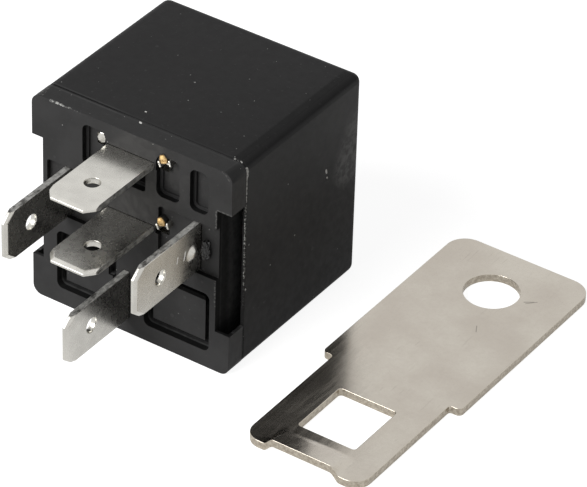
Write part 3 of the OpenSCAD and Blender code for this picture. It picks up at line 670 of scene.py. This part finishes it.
def cad_copy(node, keep_above_y=None):
    """A clean copy of a CAD node's mesh, cut off in front of a y in millimetres if given."""
    bm = bmesh.new()
    bm.from_mesh(nodes[node].data)
    bmesh.ops.remove_doubles(bm, verts=bm.verts, dist=2e-7)
    bmesh.ops.dissolve_limit(bm, angle_limit=math.radians(0.5), verts=bm.verts, edges=bm.edges)
    if keep_above_y is not None:
        bmesh.ops.bisect_plane(bm, geom=bm.verts[:] + bm.edges[:] + bm.faces[:], clear_inner=True,
                               plane_co=(0, keep_above_y * MM, 0), plane_no=(0, 1, 0))
    mesh = to_mesh(bm, node + "_looks")
    if "custom_normal" in mesh.attributes:
        mesh.attributes.remove(mesh.attributes["custom_normal"])
    return mesh


def skin(bm, rings):
    """Faces between rings of equally many vertices, and one over each end."""
    for a, b in zip(rings, rings[1:]):
        for i in range(len(a)):
            j = (i + 1) % len(a)
            bm.faces.new([a[i], a[j], b[j], b[i]])
    bm.faces.new(rings[0])
    bm.faces.new(rings[-1])
    bmesh.ops.recalc_face_normals(bm, faces=bm.faces)


def smooth(u):
    """A smooth step from 0 to 1 as u goes from 0 to 1."""
    u = min(max(u, 0.0), 1.0)
    return u * u * (3 - 2 * u)


def arc(center, r, a0, a1, count):
    """Points of an arc in degrees, both ends included."""
    angles = [math.radians(a0 + (a1 - a0) * i / count) for i in range(count + 1)]
    return [(center[0] + r * math.cos(a), center[1] + r * math.sin(a)) for a in angles]


def circle(center, r, count):
    """Points of a closed circle."""
    return arc(center, r, 0, 360 * (count - 1) / count, count - 1)


def round_rect(x0, y0, x1, y1, r, count):
    """Anticlockwise outline of a rectangle with round corners."""
    return (arc((x1 - r, y0 + r), r, -90, 0, count) + arc((x1 - r, y1 - r), r, 0, 90, count)
            + arc((x0 + r, y1 - r), r, 90, 180, count) + arc((x0 + r, y0 + r), r, 180, 270, count))


def mirror(points):
    """The same points on the other side of x = 0, in reverse order."""
    return [(-x, y) for x, y in reversed(points)]


def between(a, b, count):
    """The first point and, where the second one lies far off, points on the way to it."""
    if math.hypot(b[0] - a[0], b[1] - a[1]) < 2:
        return [a]
    return [(a[0] + (b[0] - a[0]) * i / count, a[1] + (b[1] - a[1]) * i / count) for i in range(count)]


def within(p, loop):
    """Whether a point lies inside a closed outline."""
    inside = False
    for (x0, y0), (x1, y1) in zip(loop, loop[1:] + loop[:1]):
        if (y0 > p.y) != (y1 > p.y) and p.x < (x1 - x0) * (p.y - y0) / (y1 - y0) + x0:
            inside = not inside
    return inside


def triangulate(outline, holes, extra, lines):
    """Points of a plate and its faces, from its outline, holes, inner points and inner lines."""
    points, edges = [], []
    for loop in [outline] + list(holes):
        first = len(points)
        points += loop
        edges += [(first + i, first + (i + 1) % len(loop)) for i in range(len(loop))]
    for line in lines:
        first = len(points)
        points += line
        edges += [(first + i, first + i + 1) for i in range(len(line) - 1)]
    points += extra
    flat, _, faces, _, _, _ = delaunay_2d_cdt([Vector(p) for p in points], edges, [], 0, 1e-5)
    kept = []
    for face in faces:
        middle = sum((flat[i] for i in face), Vector((0, 0))) / len(face)
        if within(middle, outline) and not any(within(middle, hole) for hole in holes):
            kept.append(list(face))
    return flat, kept


def sheet_mesh(name, outline, holes, extra, top, bottom, lines=()):
    """A plate from an outline, its holes and inner points, all in millimetres.

    top and bottom give the heights of its two faces at a point. Lines are lists of points that
    the faces are creased along."""
    flat, faces = triangulate(outline, holes, extra, lines)
    bm = bmesh.new()
    upper = [bm.verts.new((p.x * MM, p.y * MM, top(p.x, p.y) * MM)) for p in flat]
    lower = [bm.verts.new((p.x * MM, p.y * MM, bottom(p.x, p.y) * MM)) for p in flat]
    sides = []
    for face in faces:
        bm.faces.new([upper[i] for i in face])
        bm.faces.new([lower[i] for i in reversed(face)])
        sides += zip(face, face[1:] + face[:1])
    known = set(sides)
    for a, b in sides:
        if (b, a) not in known:
            bm.faces.new([upper[b], upper[a], lower[a], lower[b]])
    bmesh.ops.delete(bm, geom=[v for v in bm.verts if not v.link_faces], context="VERTS")
    bmesh.ops.recalc_face_normals(bm, faces=bm.faces)
    bmesh.ops.dissolve_limit(bm, angle_limit=math.radians(0.4), verts=bm.verts, edges=bm.edges)
    return to_mesh(bm, name)


# Cover

def cover_gap(x, y, z):
    """How far the cover stands off the collar, a little at the upper left and the lower right."""
    upper = smooth((-0.5 - x) / 5) * smooth((z - COVER_HIGH.z + 6) / 4)
    lower = smooth((x - COVER_HIGH.x + 3) / 2) * smooth((COVER_LOW.z + 5.5 - z) / 1)
    return SEAM_GAP * max(upper, 0.6 * lower) * smooth((COVER_LOW.y + 0.5 - y) / 0.4)


def cover_ring(bm, inset, y):
    """Vertices of the cover's rounded outline, drawn in by inset, at a depth y."""
    x0, _, z0 = COVER_LOW
    x1, _, z1 = COVER_HIGH
    r = max(COVER_R - inset, 0.05)
    turns = round_rect(x0 + inset, z0 + inset, x1 - inset, z1 - inset, r, CORNER_STEPS)
    outline = [p for a, b in zip(turns, turns[1:] + turns[:1]) for p in between(a, b, SIDE_STEPS)]
    return [bm.verts.new((x * MM, (y + cover_gap(x, y, z)) * MM, z * MM)) for x, z in outline]


def cover_mesh():
    """The cover as a shell: rings of a rounded outline that draw in over the back edge."""
    y0, y1 = COVER_LOW.y, COVER_HIGH.y
    outside = [(FRONT_R, y0), (FRONT_CUT, y0 + FRONT_CUT), (0.0, y0 + FRONT_R)]
    outside += [(0.0, y0 + depth) for depth in (0.5, 3.5, 12.0)]
    for i in range(BACK_STEPS + 1):
        a = math.radians(90 * i / BACK_STEPS)
        outside.append((COVER_BACK_R * (1 - math.cos(a)), y1 - COVER_BACK_R * (1 - math.sin(a))))
    inside = [(COVER_WALL, y1 - COVER_WALL), (COVER_WALL, y0 + RIM_L), (NOTCH_RIM, y0 + RIM_L),
              (NOTCH_RIM, y0 + FRONT_R), (NOTCH_RIM - 0.06, y0)]
    bm = bmesh.new()
    outer = [cover_ring(bm, *ring) for ring in outside]
    inner = [cover_ring(bm, *ring) for ring in inside]
    skin(bm, inner + outer)
    mesh = to_mesh(bm, "cover_shell")
    smooth_edges(mesh, 35)
    return mesh


def build_cover():
    """The cover, with edge wear, a few bright chips, and painted light and shade."""
    _, _, z0 = COVER_LOW
    x1, _, z1 = COVER_HIGH
    plastic = black_plastic("black_plastic", (0.026, 0.0255, 0.0258), 0.5, 0.07, marks=[
        ((x1, 0.1, z1 - 0.7), (x1, 0.15, z1 - 1.6), 0.6, 0.28, WHITE),
        ((x1, 0.1, z1 - 1.2), (x1, 0.05, z1 - 5.0), 0.36, 0.24, WHITE),
        ((x1, 0.05, z1 - 4.8), (x1, 0.05, z0 + 11.0), 0.32, 0.17, (0.5, 0.5, 0.47)),
        ((x1, 0.05, z0 + 11.0), (x1, 0.05, z0 + 8.0), 0.3, 0.15, DULL),
        ((x1, 0.3, 10.3), (x1, 0.35, 10.2), 0.16, 0.6, WHITE),
        ((x1, 0.3, z1 - 3.0), (x1, 0.3, z0 + 3.0), 0.8, 0.07, DULL),
        ((x1 - 1.6, 0.1, z1), (x1 - 0.8, 0.1, z1 - 0.05), 0.34, 0.22, WHITE),
        ((-1.3, 1.8, z1), (-1.2, 1.8, z1), 0.16, 0.5, WHITE),
        ((x1, 15.9, 17.3), (x1, 15.8, 17.7), 0.27, 0.42, WHITE),
        ((x1, 16.0, 16.6), (x1, 16.1, 16.5), 0.19, 0.45, WHITE),
    ], tones=cover_smudge_and_painted_light)
    link("cover_shell", cover_mesh(), plastic, replace=["cover"])


# Base

def cut_panels(mesh):
    """Cuts the two large recesses' raised panels where the painted shadow below their upper rim ends.
    """
    bm = bmesh.new()
    bm.from_mesh(mesh)
    panels = [f for f in bm.faces if f.normal.y < -0.9
              and abs(f.calc_center_median().y / MM - FACE_Y - PANEL_D) < 0.05]
    edges = {e for f in panels for e in f.edges}
    verts = {v for f in panels for v in f.verts}
    bmesh.ops.bisect_plane(bm, geom=panels + list(edges) + list(verts),
                           plane_co=(0, 0, PANEL_SHADE_Z * MM), plane_no=(0, 0, 1))
    bm.to_mesh(mesh)
    bm.free()
    return mesh


def in_notch(c):
    """Whether a point of the base lies inside one of its two side notches."""
    half = BASE_HIGH.x
    level = abs(c.z - BASE_MID_Z) < NOTCH_H / 2 + 3
    beside = c.x > half - NOTCH_RIGHT - 0.05 or c.x < NOTCH_LEFT + 0.05 - half
    return level and beside and abs(c.x) < half - 0.03 and c.y > FACE_Y + 0.2


def shade_of(mesh, face):
    """Material index of a face of the base: painted shade in the notches and on the recesses' walls."""
    c = face.center / MM
    if in_notch(c):
        return RIGHT_NOTCH_SHADE if c.x > 0 else LEFT_NOTCH_SHADE
    rim = 0.5
    if abs(c.x) >= BASE_HIGH.x - rim or abs(c.z - BASE_MID_Z) >= BASE_MID_Z - rim:
        return OPEN
    depths = [mesh.vertices[i].co.y / MM - FACE_Y for i in face.vertices]
    nearest, farthest = min(depths), max(depths)
    # painted shadow on the strip of the panels below their upper rim
    if PANEL_SHADE_Z < c.z < PANEL_SHADE_Z + 1 and nearest > PANEL_D - EDGE_REACH:
        return RECESS_SHADE
    on_step = STEP_D - EDGE_REACH < nearest and farthest < STEP_D + 0.36
    wall = abs(face.normal.y) < 0.75 and farthest > 0.2 and not on_step
    ground = nearest > 1.3
    return RECESS_SHADE if wall or ground else OPEN


def build_base():
    """The base, with edge wear, a painted highlight, and painted shade on top, in recesses and notches.
    """
    x1, _, z1 = BASE_HIGH
    notch_x = x1 - NOTCH_RIGHT
    # top=0.72 paints the faces that look up darker, as shade
    plastic = black_plastic("black_plastic_base", (0.034, 0.0335, 0.0335), 0.46, 0.12, marks=[
        ((-11.0, FACE_Y, z1), (-9.3, FACE_Y, z1), 0.38, 0.22, (0.5, 0.5, 0.48)),
        ((-9.3, FACE_Y, z1), (-8.3, FACE_Y, z1), 0.32, 0.18, PALE),
        ((-8.3, FACE_Y, z1), (-6.9, FACE_Y, z1 - 0.1), 0.3, 0.12, DULL),
        ((-0.5, -0.3, z1), (-0.3, -0.4, z1), 0.24, 0.34, WHITE),
        ((-12.6, -2.2, z1), (-12.9, -0.6, z1), 0.9, 0.16, DULL),
        # painted highlight on the collar's rounded top right corner
        ((12.3, FACE_Y, z1), (x1 - 0.4, FACE_Y, z1 - 0.8), 0.26, 0.18, DULL),
        ((notch_x, FACE_Y, 9.0), (notch_x, FACE_Y, 21.5), 0.5, 0.18, DULL),
        ((notch_x, FACE_Y, 21.8), (x1 - 0.1, FACE_Y, 21.8), 0.3, 0.2, DULL),
        ((9.9, FACE_Y + 1.0, 24.7), (9.9, FACE_Y + 1.0, 24.8), 0.2, 0.6, WHITE),
        ((5.4, FACE_Y + 0.6, 8.1), (5.4, FACE_Y + 0.6, 8.2), 0.16, 0.6, WHITE),
        ((11.0, -0.05, z1), (12.4, -0.05, z1), 0.14, 0.5, SHADE),
    ], top=0.72)
    mesh = cut_panels(cad_copy("base"))
    piece = link("base_moulding", mesh, plastic, replace=["base"])
    soften(piece, BASE_SOFT, 2, 40)
    # copies of the plastic with painted shade for the recesses and notches
    darker = (
        # painted shadow below the upper rims of the two large recesses
        painted_shade_plastic("black_plastic_recess_shade", 0.02, 0.05, 0.014, 0.01, marks=[
            ((2.8, FACE_Y + 0.8, 8.95), (9.9, FACE_Y + 0.8, 8.95), 1.3),
            ((-8.0, FACE_Y + 0.8, 8.95), (-2.8, FACE_Y + 0.8, 8.95), 1.3),
        ]),
        # painted shade of the notches, lighter in the left one
        painted_shade_plastic("black_plastic_notch_shade", 0.022, 0.032, 0.03, 0.11),
        painted_shade_plastic("black_plastic_left_notch_shade", 0.045, 0.075, 0.045, 0.045),
    )
    for material in darker:
        piece.data.materials.append(material)
    for face in piece.data.polygons:
        face.material_index = shade_of(piece.data, face)
    even_normals(piece)


# Terminals

def half_thickness(x, y):
    """Half a blade's thickness at a point: coined thinner at its tip edge and corner cuts."""
    from_tip = y - BLADE_TIP_Y
    from_cut = (BLADE_W / 2 - abs(x)) * TIP_CUT_L + from_tip * TIP_CUT_W - TIP_CUT_W * TIP_CUT_L
    depth = min(from_tip, from_cut / math.hypot(TIP_CUT_W, TIP_CUT_L) * COIN_CUT)
    rise = min(max(depth / COIN_W, 0.0), 1.0)
    return TIP_T / 2 + (BLADE_T / 2 - TIP_T / 2) * rise


def coined_lines():
    """Lines where a blade's coined bevel starts, and where its corners meet the tip."""
    tip, half = BLADE_TIP_Y, BLADE_W / 2
    corner = TIP_CUT_W * TIP_CUT_L
    cut_in = COIN_W / COIN_CUT * math.hypot(TIP_CUT_W, TIP_CUT_L)
    inner = (half - (corner + cut_in - COIN_W * TIP_CUT_W) / TIP_CUT_L, tip + COIN_W)
    crease = [inner, (half, tip + (corner + cut_in) / TIP_CUT_W)]
    ridge = [(half - TIP_CUT_W, tip), inner]
    return [mirror(crease) + crease, mirror(ridge)[::-1], ridge]


def dimple_height(x, y):
    """How far the dimple stands out of a blade's face at a point."""
    r = 2 * math.hypot((x - DIMPLE_PLACE[0]) / DIMPLE_L, (y - DIMPLE_PLACE[1]) / DIMPLE_W)
    return DIMPLE_H * smooth((1 - r) / DIMPLE_SLOPE)


def dimple_points():
    """Points on rings over the dimple, and its middle."""
    x, y = DIMPLE_PLACE
    points = []
    for i in range(1, DIMPLE_RINGS + 1):
        ring = circle((0, 0), i / (2 * DIMPLE_RINGS), 28)
        points += [(x + u * DIMPLE_L, y + v * DIMPLE_W) for u, v in ring]
    return points + [DIMPLE_PLACE]


def blade_mesh(name, dimple_side):
    """A blade across X in the plane Z = 0, with coined tip edges and a detent hole.

    A dimple is pressed out of its upper or lower face where dimple_side is 1 or -1."""
    tip, half = BLADE_TIP_Y, BLADE_W / 2
    right = [(half - TIP_CUT_W, tip), (half, tip + TIP_CUT_L), (half, ROOT_Y)]
    hole = circle((0, tip + DETENT_Y), DETENT_D / 2, 40)

    def face(side):
        """A function for the height of the upper face, where side is 1, or the lower one."""
        def height(x, y):
            """Height of that face at a point."""
            pressed = dimple_height(x, y) if side == dimple_side else 0.0
            return side * (half_thickness(x, y) + pressed)
        return height

    extra = dimple_points() if dimple_side else []
    return sheet_mesh(name, mirror(right) + right, [hole], extra, face(1), face(-1), coined_lines())


def prism_mesh(name, section):
    """A short bar along Y from an outline in X and Z, drawn in at its front end."""
    mid_x, mid_z = [sum(values) / len(section) for values in zip(*section)]
    bm = bmesh.new()
    rows = []
    for y, share in ((NIB_L, 1.0), (0.0, 1.0), (-NIB_DRAW, NIB_DRAW_SHARE)):
        ring = [(mid_x + (x - mid_x) * share, y, mid_z + (z - mid_z) * share) for x, z in section]
        rows.append([bm.verts.new([value * MM for value in point]) for point in ring])
    skin(bm, rows)
    return to_mesh(bm, name)


def nib_parts(node, tin, brass):
    """Staked nibs beside a horizontal blade.

    The right one is a bare cap between two bright legs, and the left one a plain block."""
    z = BLADE_PLACES[node][1]
    x = NIB_X + NIB_SHIFT.get(node, 0)
    turn = Matrix.Rotation(math.radians(-NIB_TILT), 4, "Y")
    right = Matrix.Translation((x * MM, (FACE_Y - NIB_OUT) * MM, (z + NIB_UP) * MM)) @ turn
    left = Matrix.Translation((LEFT_NIB_X * MM, (FACE_Y + LEFT_NIB_IN) * MM, (z + LEFT_NIB_UP) * MM))
    cap = [(-0.44, -0.3), (0.44, -0.3), (0.54, 0.2), (0.26, 0.8), (-0.26, 0.8), (-0.54, 0.2)]
    leg = [(0.58, -0.72), (0.84, -0.72), (0.92, 0.0), (0.76, 0.14), (0.58, -0.06)]
    block = [(-0.48, -0.48), (-0.02, -0.74), (0.52, -0.46), (0.62, 0.24), (0.32, 0.72),
             (-0.24, 0.68), (-0.62, -0.06)]
    parts = [
        loose("nib_cap", prism_mesh("nib_cap", cap), brass, right),
        loose("nib_leg_right", prism_mesh("nib_leg", leg), tin, right),
        loose("nib_leg_left", prism_mesh("nib_leg", mirror(leg)), tin, right),
        loose("nib_block", prism_mesh("nib_block", block), tin, left),
    ]
    for part in parts:
        soften(part, NIB_SOFT, 3, 30)
    return parts


def blade_part(node, tin, cut):
    """The visible blade of a terminal at its place, with sheared sides."""
    x, z = BLADE_PLACES[node]
    place = Matrix.Translation((x * MM, 0, z * MM))
    if node not in ACROSS:
        place = place @ Matrix.Rotation(math.radians(90), 4, "Y")
    mesh = blade_mesh(node + "_blade", DIMPLE_SIDES.get(node, 0))
    blade = loose(node + "_blade", mesh, tin, place)
    soften(blade, BLADE_SOFT, 2, 20)
    blade.data.materials.append(cut)
    for face in blade.data.polygons:
        on_side = abs(face.normal.x) > 0.9 and abs(face.center.x) > (BLADE_W / 2 - 0.1) * MM
        face.material_index = 1 if on_side else 0
    return blade


def build_terminals():
    """The five terminals: each a fine blade, its nibs and what the CAD node has behind the face."""
    x_85 = BLADE_PLACES["terminal_85"][0] + BLADE_T / 2
    tin = tinned_metal("tinned_brass", marks=[
        ((x_85, -6.47, 16.6), (x_85, -6.64, 15.9), 0.12),
        ((x_85, -5.07, 16.6), (x_85, -5.33, 15.6), 0.14),
    ])
    cut = sheared_edge()
    brass = bare_brass()
    for node in TERMINALS:
        inner = loose(node + "_inner", cad_copy(node, ROOT_Y - ROOT_LAP), tin, Matrix.Identity(4))
        parts = [inner, blade_part(node, tin, cut)]
        if node in ACROSS:
            parts += nib_parts(node, tin, brass)
        piece = link(node + "_looks", join(node + "_looks", parts), replace=[node])
        even_normals(piece)


def build_flash():
    """Moulding flash between blade 85 and the right notch: a rough bump, sunk into the face."""
    x, z = BLADE_PLACES["terminal_85"]
    center = (x + 1.3, FACE_Y + 0.35, z - 0.1)
    radii = (0.5, 0.7, 1.2)
    lump = 0.3
    bm = bmesh.new()
    bmesh.ops.create_icosphere(bm, subdivisions=5, radius=1.0)
    for v in bm.verts:
        grain = noise.noise(v.co * 3.0) * lump + noise.noise(v.co * 8.0) * lump * 0.5
        v.co = Vector([(c + v.co[i] * radii[i] * (1 + grain)) * MM for i, c in enumerate(center)])
    mesh = to_mesh(bm, "moulding_flash")
    mesh.shade_smooth()
    plastic = black_plastic("black_flash", (0.02, 0.02, 0.02), 0.28, 0.45)
    link("moulding_flash", mesh, plastic)


# Bracket

def lip_rise(x, y):
    """How far the lip is bent up at a point, from the middle of the bracket and its front edge."""
    d = LIP_L - y
    if d <= 0 or abs(x) >= LIP_W / 2:
        return 0.0
    return LIP_RISE * smooth((LIP_W / 2 - abs(x)) / LIP_RUN) * smooth(d / LIP_RUN) * d / LIP_L


def bracket_mesh():
    """The bracket: stepped sheet with a hole, a window, and a lip bent up from its front edge."""
    y0, y1, z0 = BRACKET_LOW.y, BRACKET_HIGH.y, BRACKET_LOW.z
    half = (BRACKET_HIGH.x - BRACKET_LOW.x) / 2
    neck, lip = NECK_W / 2, LIP_W / 2
    shoulder = y0 + NECK_L
    window_y = y0 + WINDOW_Y

    def shifted(points):
        """Points from the middle of the bracket, moved to its place."""
        return [(x + BRACKET_MID_X, y) for x, y in points]

    def bottom(x, y):
        """Height of the sheet's lower face."""
        return z0 + lip_rise(x - BRACKET_MID_X, y - y0)

    steps = [LIP_RUN * i / LIP_STEPS for i in range(LIP_STEPS + 1)]
    front = [(x, y0) for x in [-lip + s for s in steps] + [lip - LIP_RUN + s for s in steps]]
    right = (
        arc((neck - EAR_R, y0 + EAR_R), EAR_R, -90, 0, 10) + [(neck, shoulder - NECK_FILLET)]
        + arc((neck + NECK_FILLET, shoulder - NECK_FILLET), NECK_FILLET, 180, 90, 4)[1:]
        + arc((half - SHOULDER_R, shoulder + SHOULDER_R), SHOULDER_R, -90, 0, 6)
        + arc((half - BRACKET_R, y1 - BRACKET_R), BRACKET_R, 0, 90, 12)
    )
    hole = circle((0, y1 - HOLE_Y), HOLE_D / 2, 72)
    window = round_rect(-WINDOW_W / 2, window_y, WINDOW_W / 2, window_y + WINDOW_L, WINDOW_R, 5)
    columns = [-lip + LIP_INSET + s for s in steps]
    columns += [-x for x in columns] + [LIP_RUN * i for i in range(-2, 3)]
    grid = [(x, y0 + LIP_L * (j + 0.5) / LIP_ROWS) for x in columns for j in range(LIP_ROWS + 1)]
    return sheet_mesh("bracket_sheet", shifted(front + right + mirror(right)),
                      [shifted(hole), shifted(window)], shifted(grid),
                      lambda x, y: bottom(x, y) + SHEET_T, bottom)


def build_bracket():
    """The bracket, with a few scratches near its screw hole and bright rub marks on its lip."""
    x, y, top = BRACKET_MID_X, BRACKET_HIGH.y - HOLE_Y, BRACKET_LOW.z + SHEET_T
    nickel = nickel_sheet(marks=[
        ((x + 4.1, y + 0.45, top), (x + 5.0, y + 1.1, top), 0.12, METAL_DULL),
        ((x + 4.4, y + 0.3, top), (x + 5.3, y + 1.3, top), 0.09, METAL_DULL),
        ((x + 2.2, y - 6.6, top), (x + 2.75, y - 7.6, top), 0.08, METAL_DULL),
        ((x - 4.3, y - 35.25, top), (x - 0.3, y - 35.0, top), 0.07, METAL_BRIGHT),
        ((x - 3.8, y - 35.5, top), (x - 2.0, y - 35.3, top), 0.06, METAL_BRIGHT),
    ])
    piece = link("bracket_sheet", bracket_mesh(), nickel, replace=["mounting_bracket"])
    soften(piece, SHEET_SOFT, 3, 40)
    even_normals(piece)


# Inner pieces

def build_inside():
    """Finishes of the CAD nodes inside, and a smooth-shaded copy of the contact spring beside the
    pivot.
    """
    finishes = {
        "soft_iron": plain_metal("soft_iron", (0.52, 0.52, 0.54), 0.35),
        "copper_wire": plain_metal("copper_wire", (0.62, 0.24, 0.10), 0.3, bands=0.22),
        "rivet_steel": plain_metal("rivet_steel", (0.62, 0.61, 0.58), 0.3),
        "contact_silver": plain_metal("contact_silver", (0.82, 0.82, 0.80), 0.2),
        "solder": plain_metal("solder", (0.66, 0.66, 0.67), 0.25),
        "bobbin_plastic": pale_plastic("bobbin_plastic", (0.72, 0.69, 0.60)),
        "spring_bronze": plain_metal("spring_bronze", (0.72, 0.44, 0.22), 0.28),
    }
    for row in frame["record"]["subparts"]:
        if row["material_slot"] in finishes and row["node"] != "contact_spring":
            paint(nodes[row["node"]].data, finishes[row["material_slot"]])
    spring = add_object("spring_leaf", cad_copy("contact_spring"))
    paint(spring.data, finishes["spring_bronze"])
    smooth_edges(spring.data, 30)
    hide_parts("contact_spring")
    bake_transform(spring)


# Camera, floor and light

def build_camera():
    """The camera, as it was solved from the photograph."""
    az, el = math.radians(CAMERA_AZIMUTH), math.radians(CAMERA_ELEVATION)
    back = Vector((math.sin(az) * math.cos(el), -math.cos(az) * math.cos(el), math.sin(el)))
    right = Vector((math.cos(az), math.sin(az), 0))
    turn = Matrix((right, back.cross(right), back)).transposed()
    turn = turn @ Matrix.Rotation(math.radians(CAMERA_ROLL), 3, "Z")
    data = bpy.data.cameras.new("camera")
    data.lens = CAMERA_LENS
    data.sensor_width = CAMERA_SENSOR
    data.clip_start = CAMERA_NEAR * MM
    camera = add_object("camera", data)
    place = (Vector(CAMERA_TARGET) + back * CAMERA_DISTANCE) * MM
    camera.matrix_world = Matrix.Translation(place) @ turn.to_4x4()
    bpy.context.scene.camera = camera


def by_ray(tree, diffuse, mirrored, camera):
    """A strength that depends on the ray that sees the background."""
    path = tree.nodes.new("ShaderNodeLightPath").outputs
    reflected = tree.nodes.new("ShaderNodeMath")
    reflected.operation = "MAXIMUM"
    tree.links.new(path["Is Glossy Ray"], reflected.inputs[0])
    tree.links.new(path["Is Transmission Ray"], reflected.inputs[1])
    value = None
    for ray, strength in ((reflected.outputs[0], mirrored), (path["Is Camera Ray"], camera)):
        step = tree.nodes.new("ShaderNodeMix")
        step.inputs[2].default_value = diffuse
        step.inputs[3].default_value = strength
        if value:
            tree.links.new(value, step.inputs[2])
        tree.links.new(ray, step.inputs[0])
        value = step.outputs[0]
    return value


def build_world():
    """White surroundings that light the relay only a little."""
    world = bpy.data.worlds.new("world")
    bpy.context.scene.world = world
    world.use_nodes = True
    tree = world.node_tree
    tree.nodes.clear()
    output = tree.nodes.new("ShaderNodeOutputWorld")
    background = tree.nodes.new("ShaderNodeBackground")
    background.inputs["Color"].default_value = rgb(1, 1, 1)
    tree.links.new(by_ray(tree, WORLD_FILL, 1.0, 1.0), background.inputs["Strength"])
    tree.links.new(background.outputs[0], output.inputs[0])


def build_floor():
    """A large floor that takes shadows and is white to the camera."""
    half = FLOOR_HALF * MM
    mesh = bpy.data.meshes.new("floor")
    mesh.from_pydata([(-half, -half, 0), (half, -half, 0), (half, half, 0), (-half, half, 0)],
                     [], [(0, 1, 2, 3)])
    floor = add_object("floor", mesh)
    floor.location.z = -FLOOR_DROP * MM
    material = bpy.data.materials.new("floor")
    material.use_nodes = True
    tree = material.node_tree
    tree.nodes.clear()
    output = tree.nodes.new("ShaderNodeOutputMaterial")
    diffuse = tree.nodes.new("ShaderNodeBsdfDiffuse")
    diffuse.inputs["Color"].default_value = grey(FLOOR_TONE)
    glow = tree.nodes.new("ShaderNodeEmission")
    tree.links.new(by_ray(tree, 0.0, FLOOR_MIRRORED, FLOOR_SEEN), glow.inputs["Strength"])
    both = tree.nodes.new("ShaderNodeAddShader")
    tree.links.new(diffuse.outputs[0], both.inputs[0])
    tree.links.new(glow.outputs[0], both.inputs[1])
    tree.links.new(both.outputs[0], output.inputs[0])
    mesh.materials.append(material)


def build_light():
    """One large soft lamp in front, left of the relay and above it."""
    data = bpy.data.lights.new("key", "AREA")
    data.shape = "DISK"
    data.size = KEY_SIZE * MM
    data.energy = KEY_POWER
    lamp = add_object("key", data)
    lamp.location = [value * MM for value in KEY_PLACE]
    aim = Vector([value * MM for value in KEY_AIM])
    lamp.rotation_euler = (aim - lamp.location).to_track_quat("-Z", "Y").to_euler()


build_cover()
build_base()
build_terminals()
build_flash()
build_bracket()
build_inside()
build_camera()
build_world()
build_floor()
build_light()

bpy.context.scene.view_settings.view_transform = "Standard"
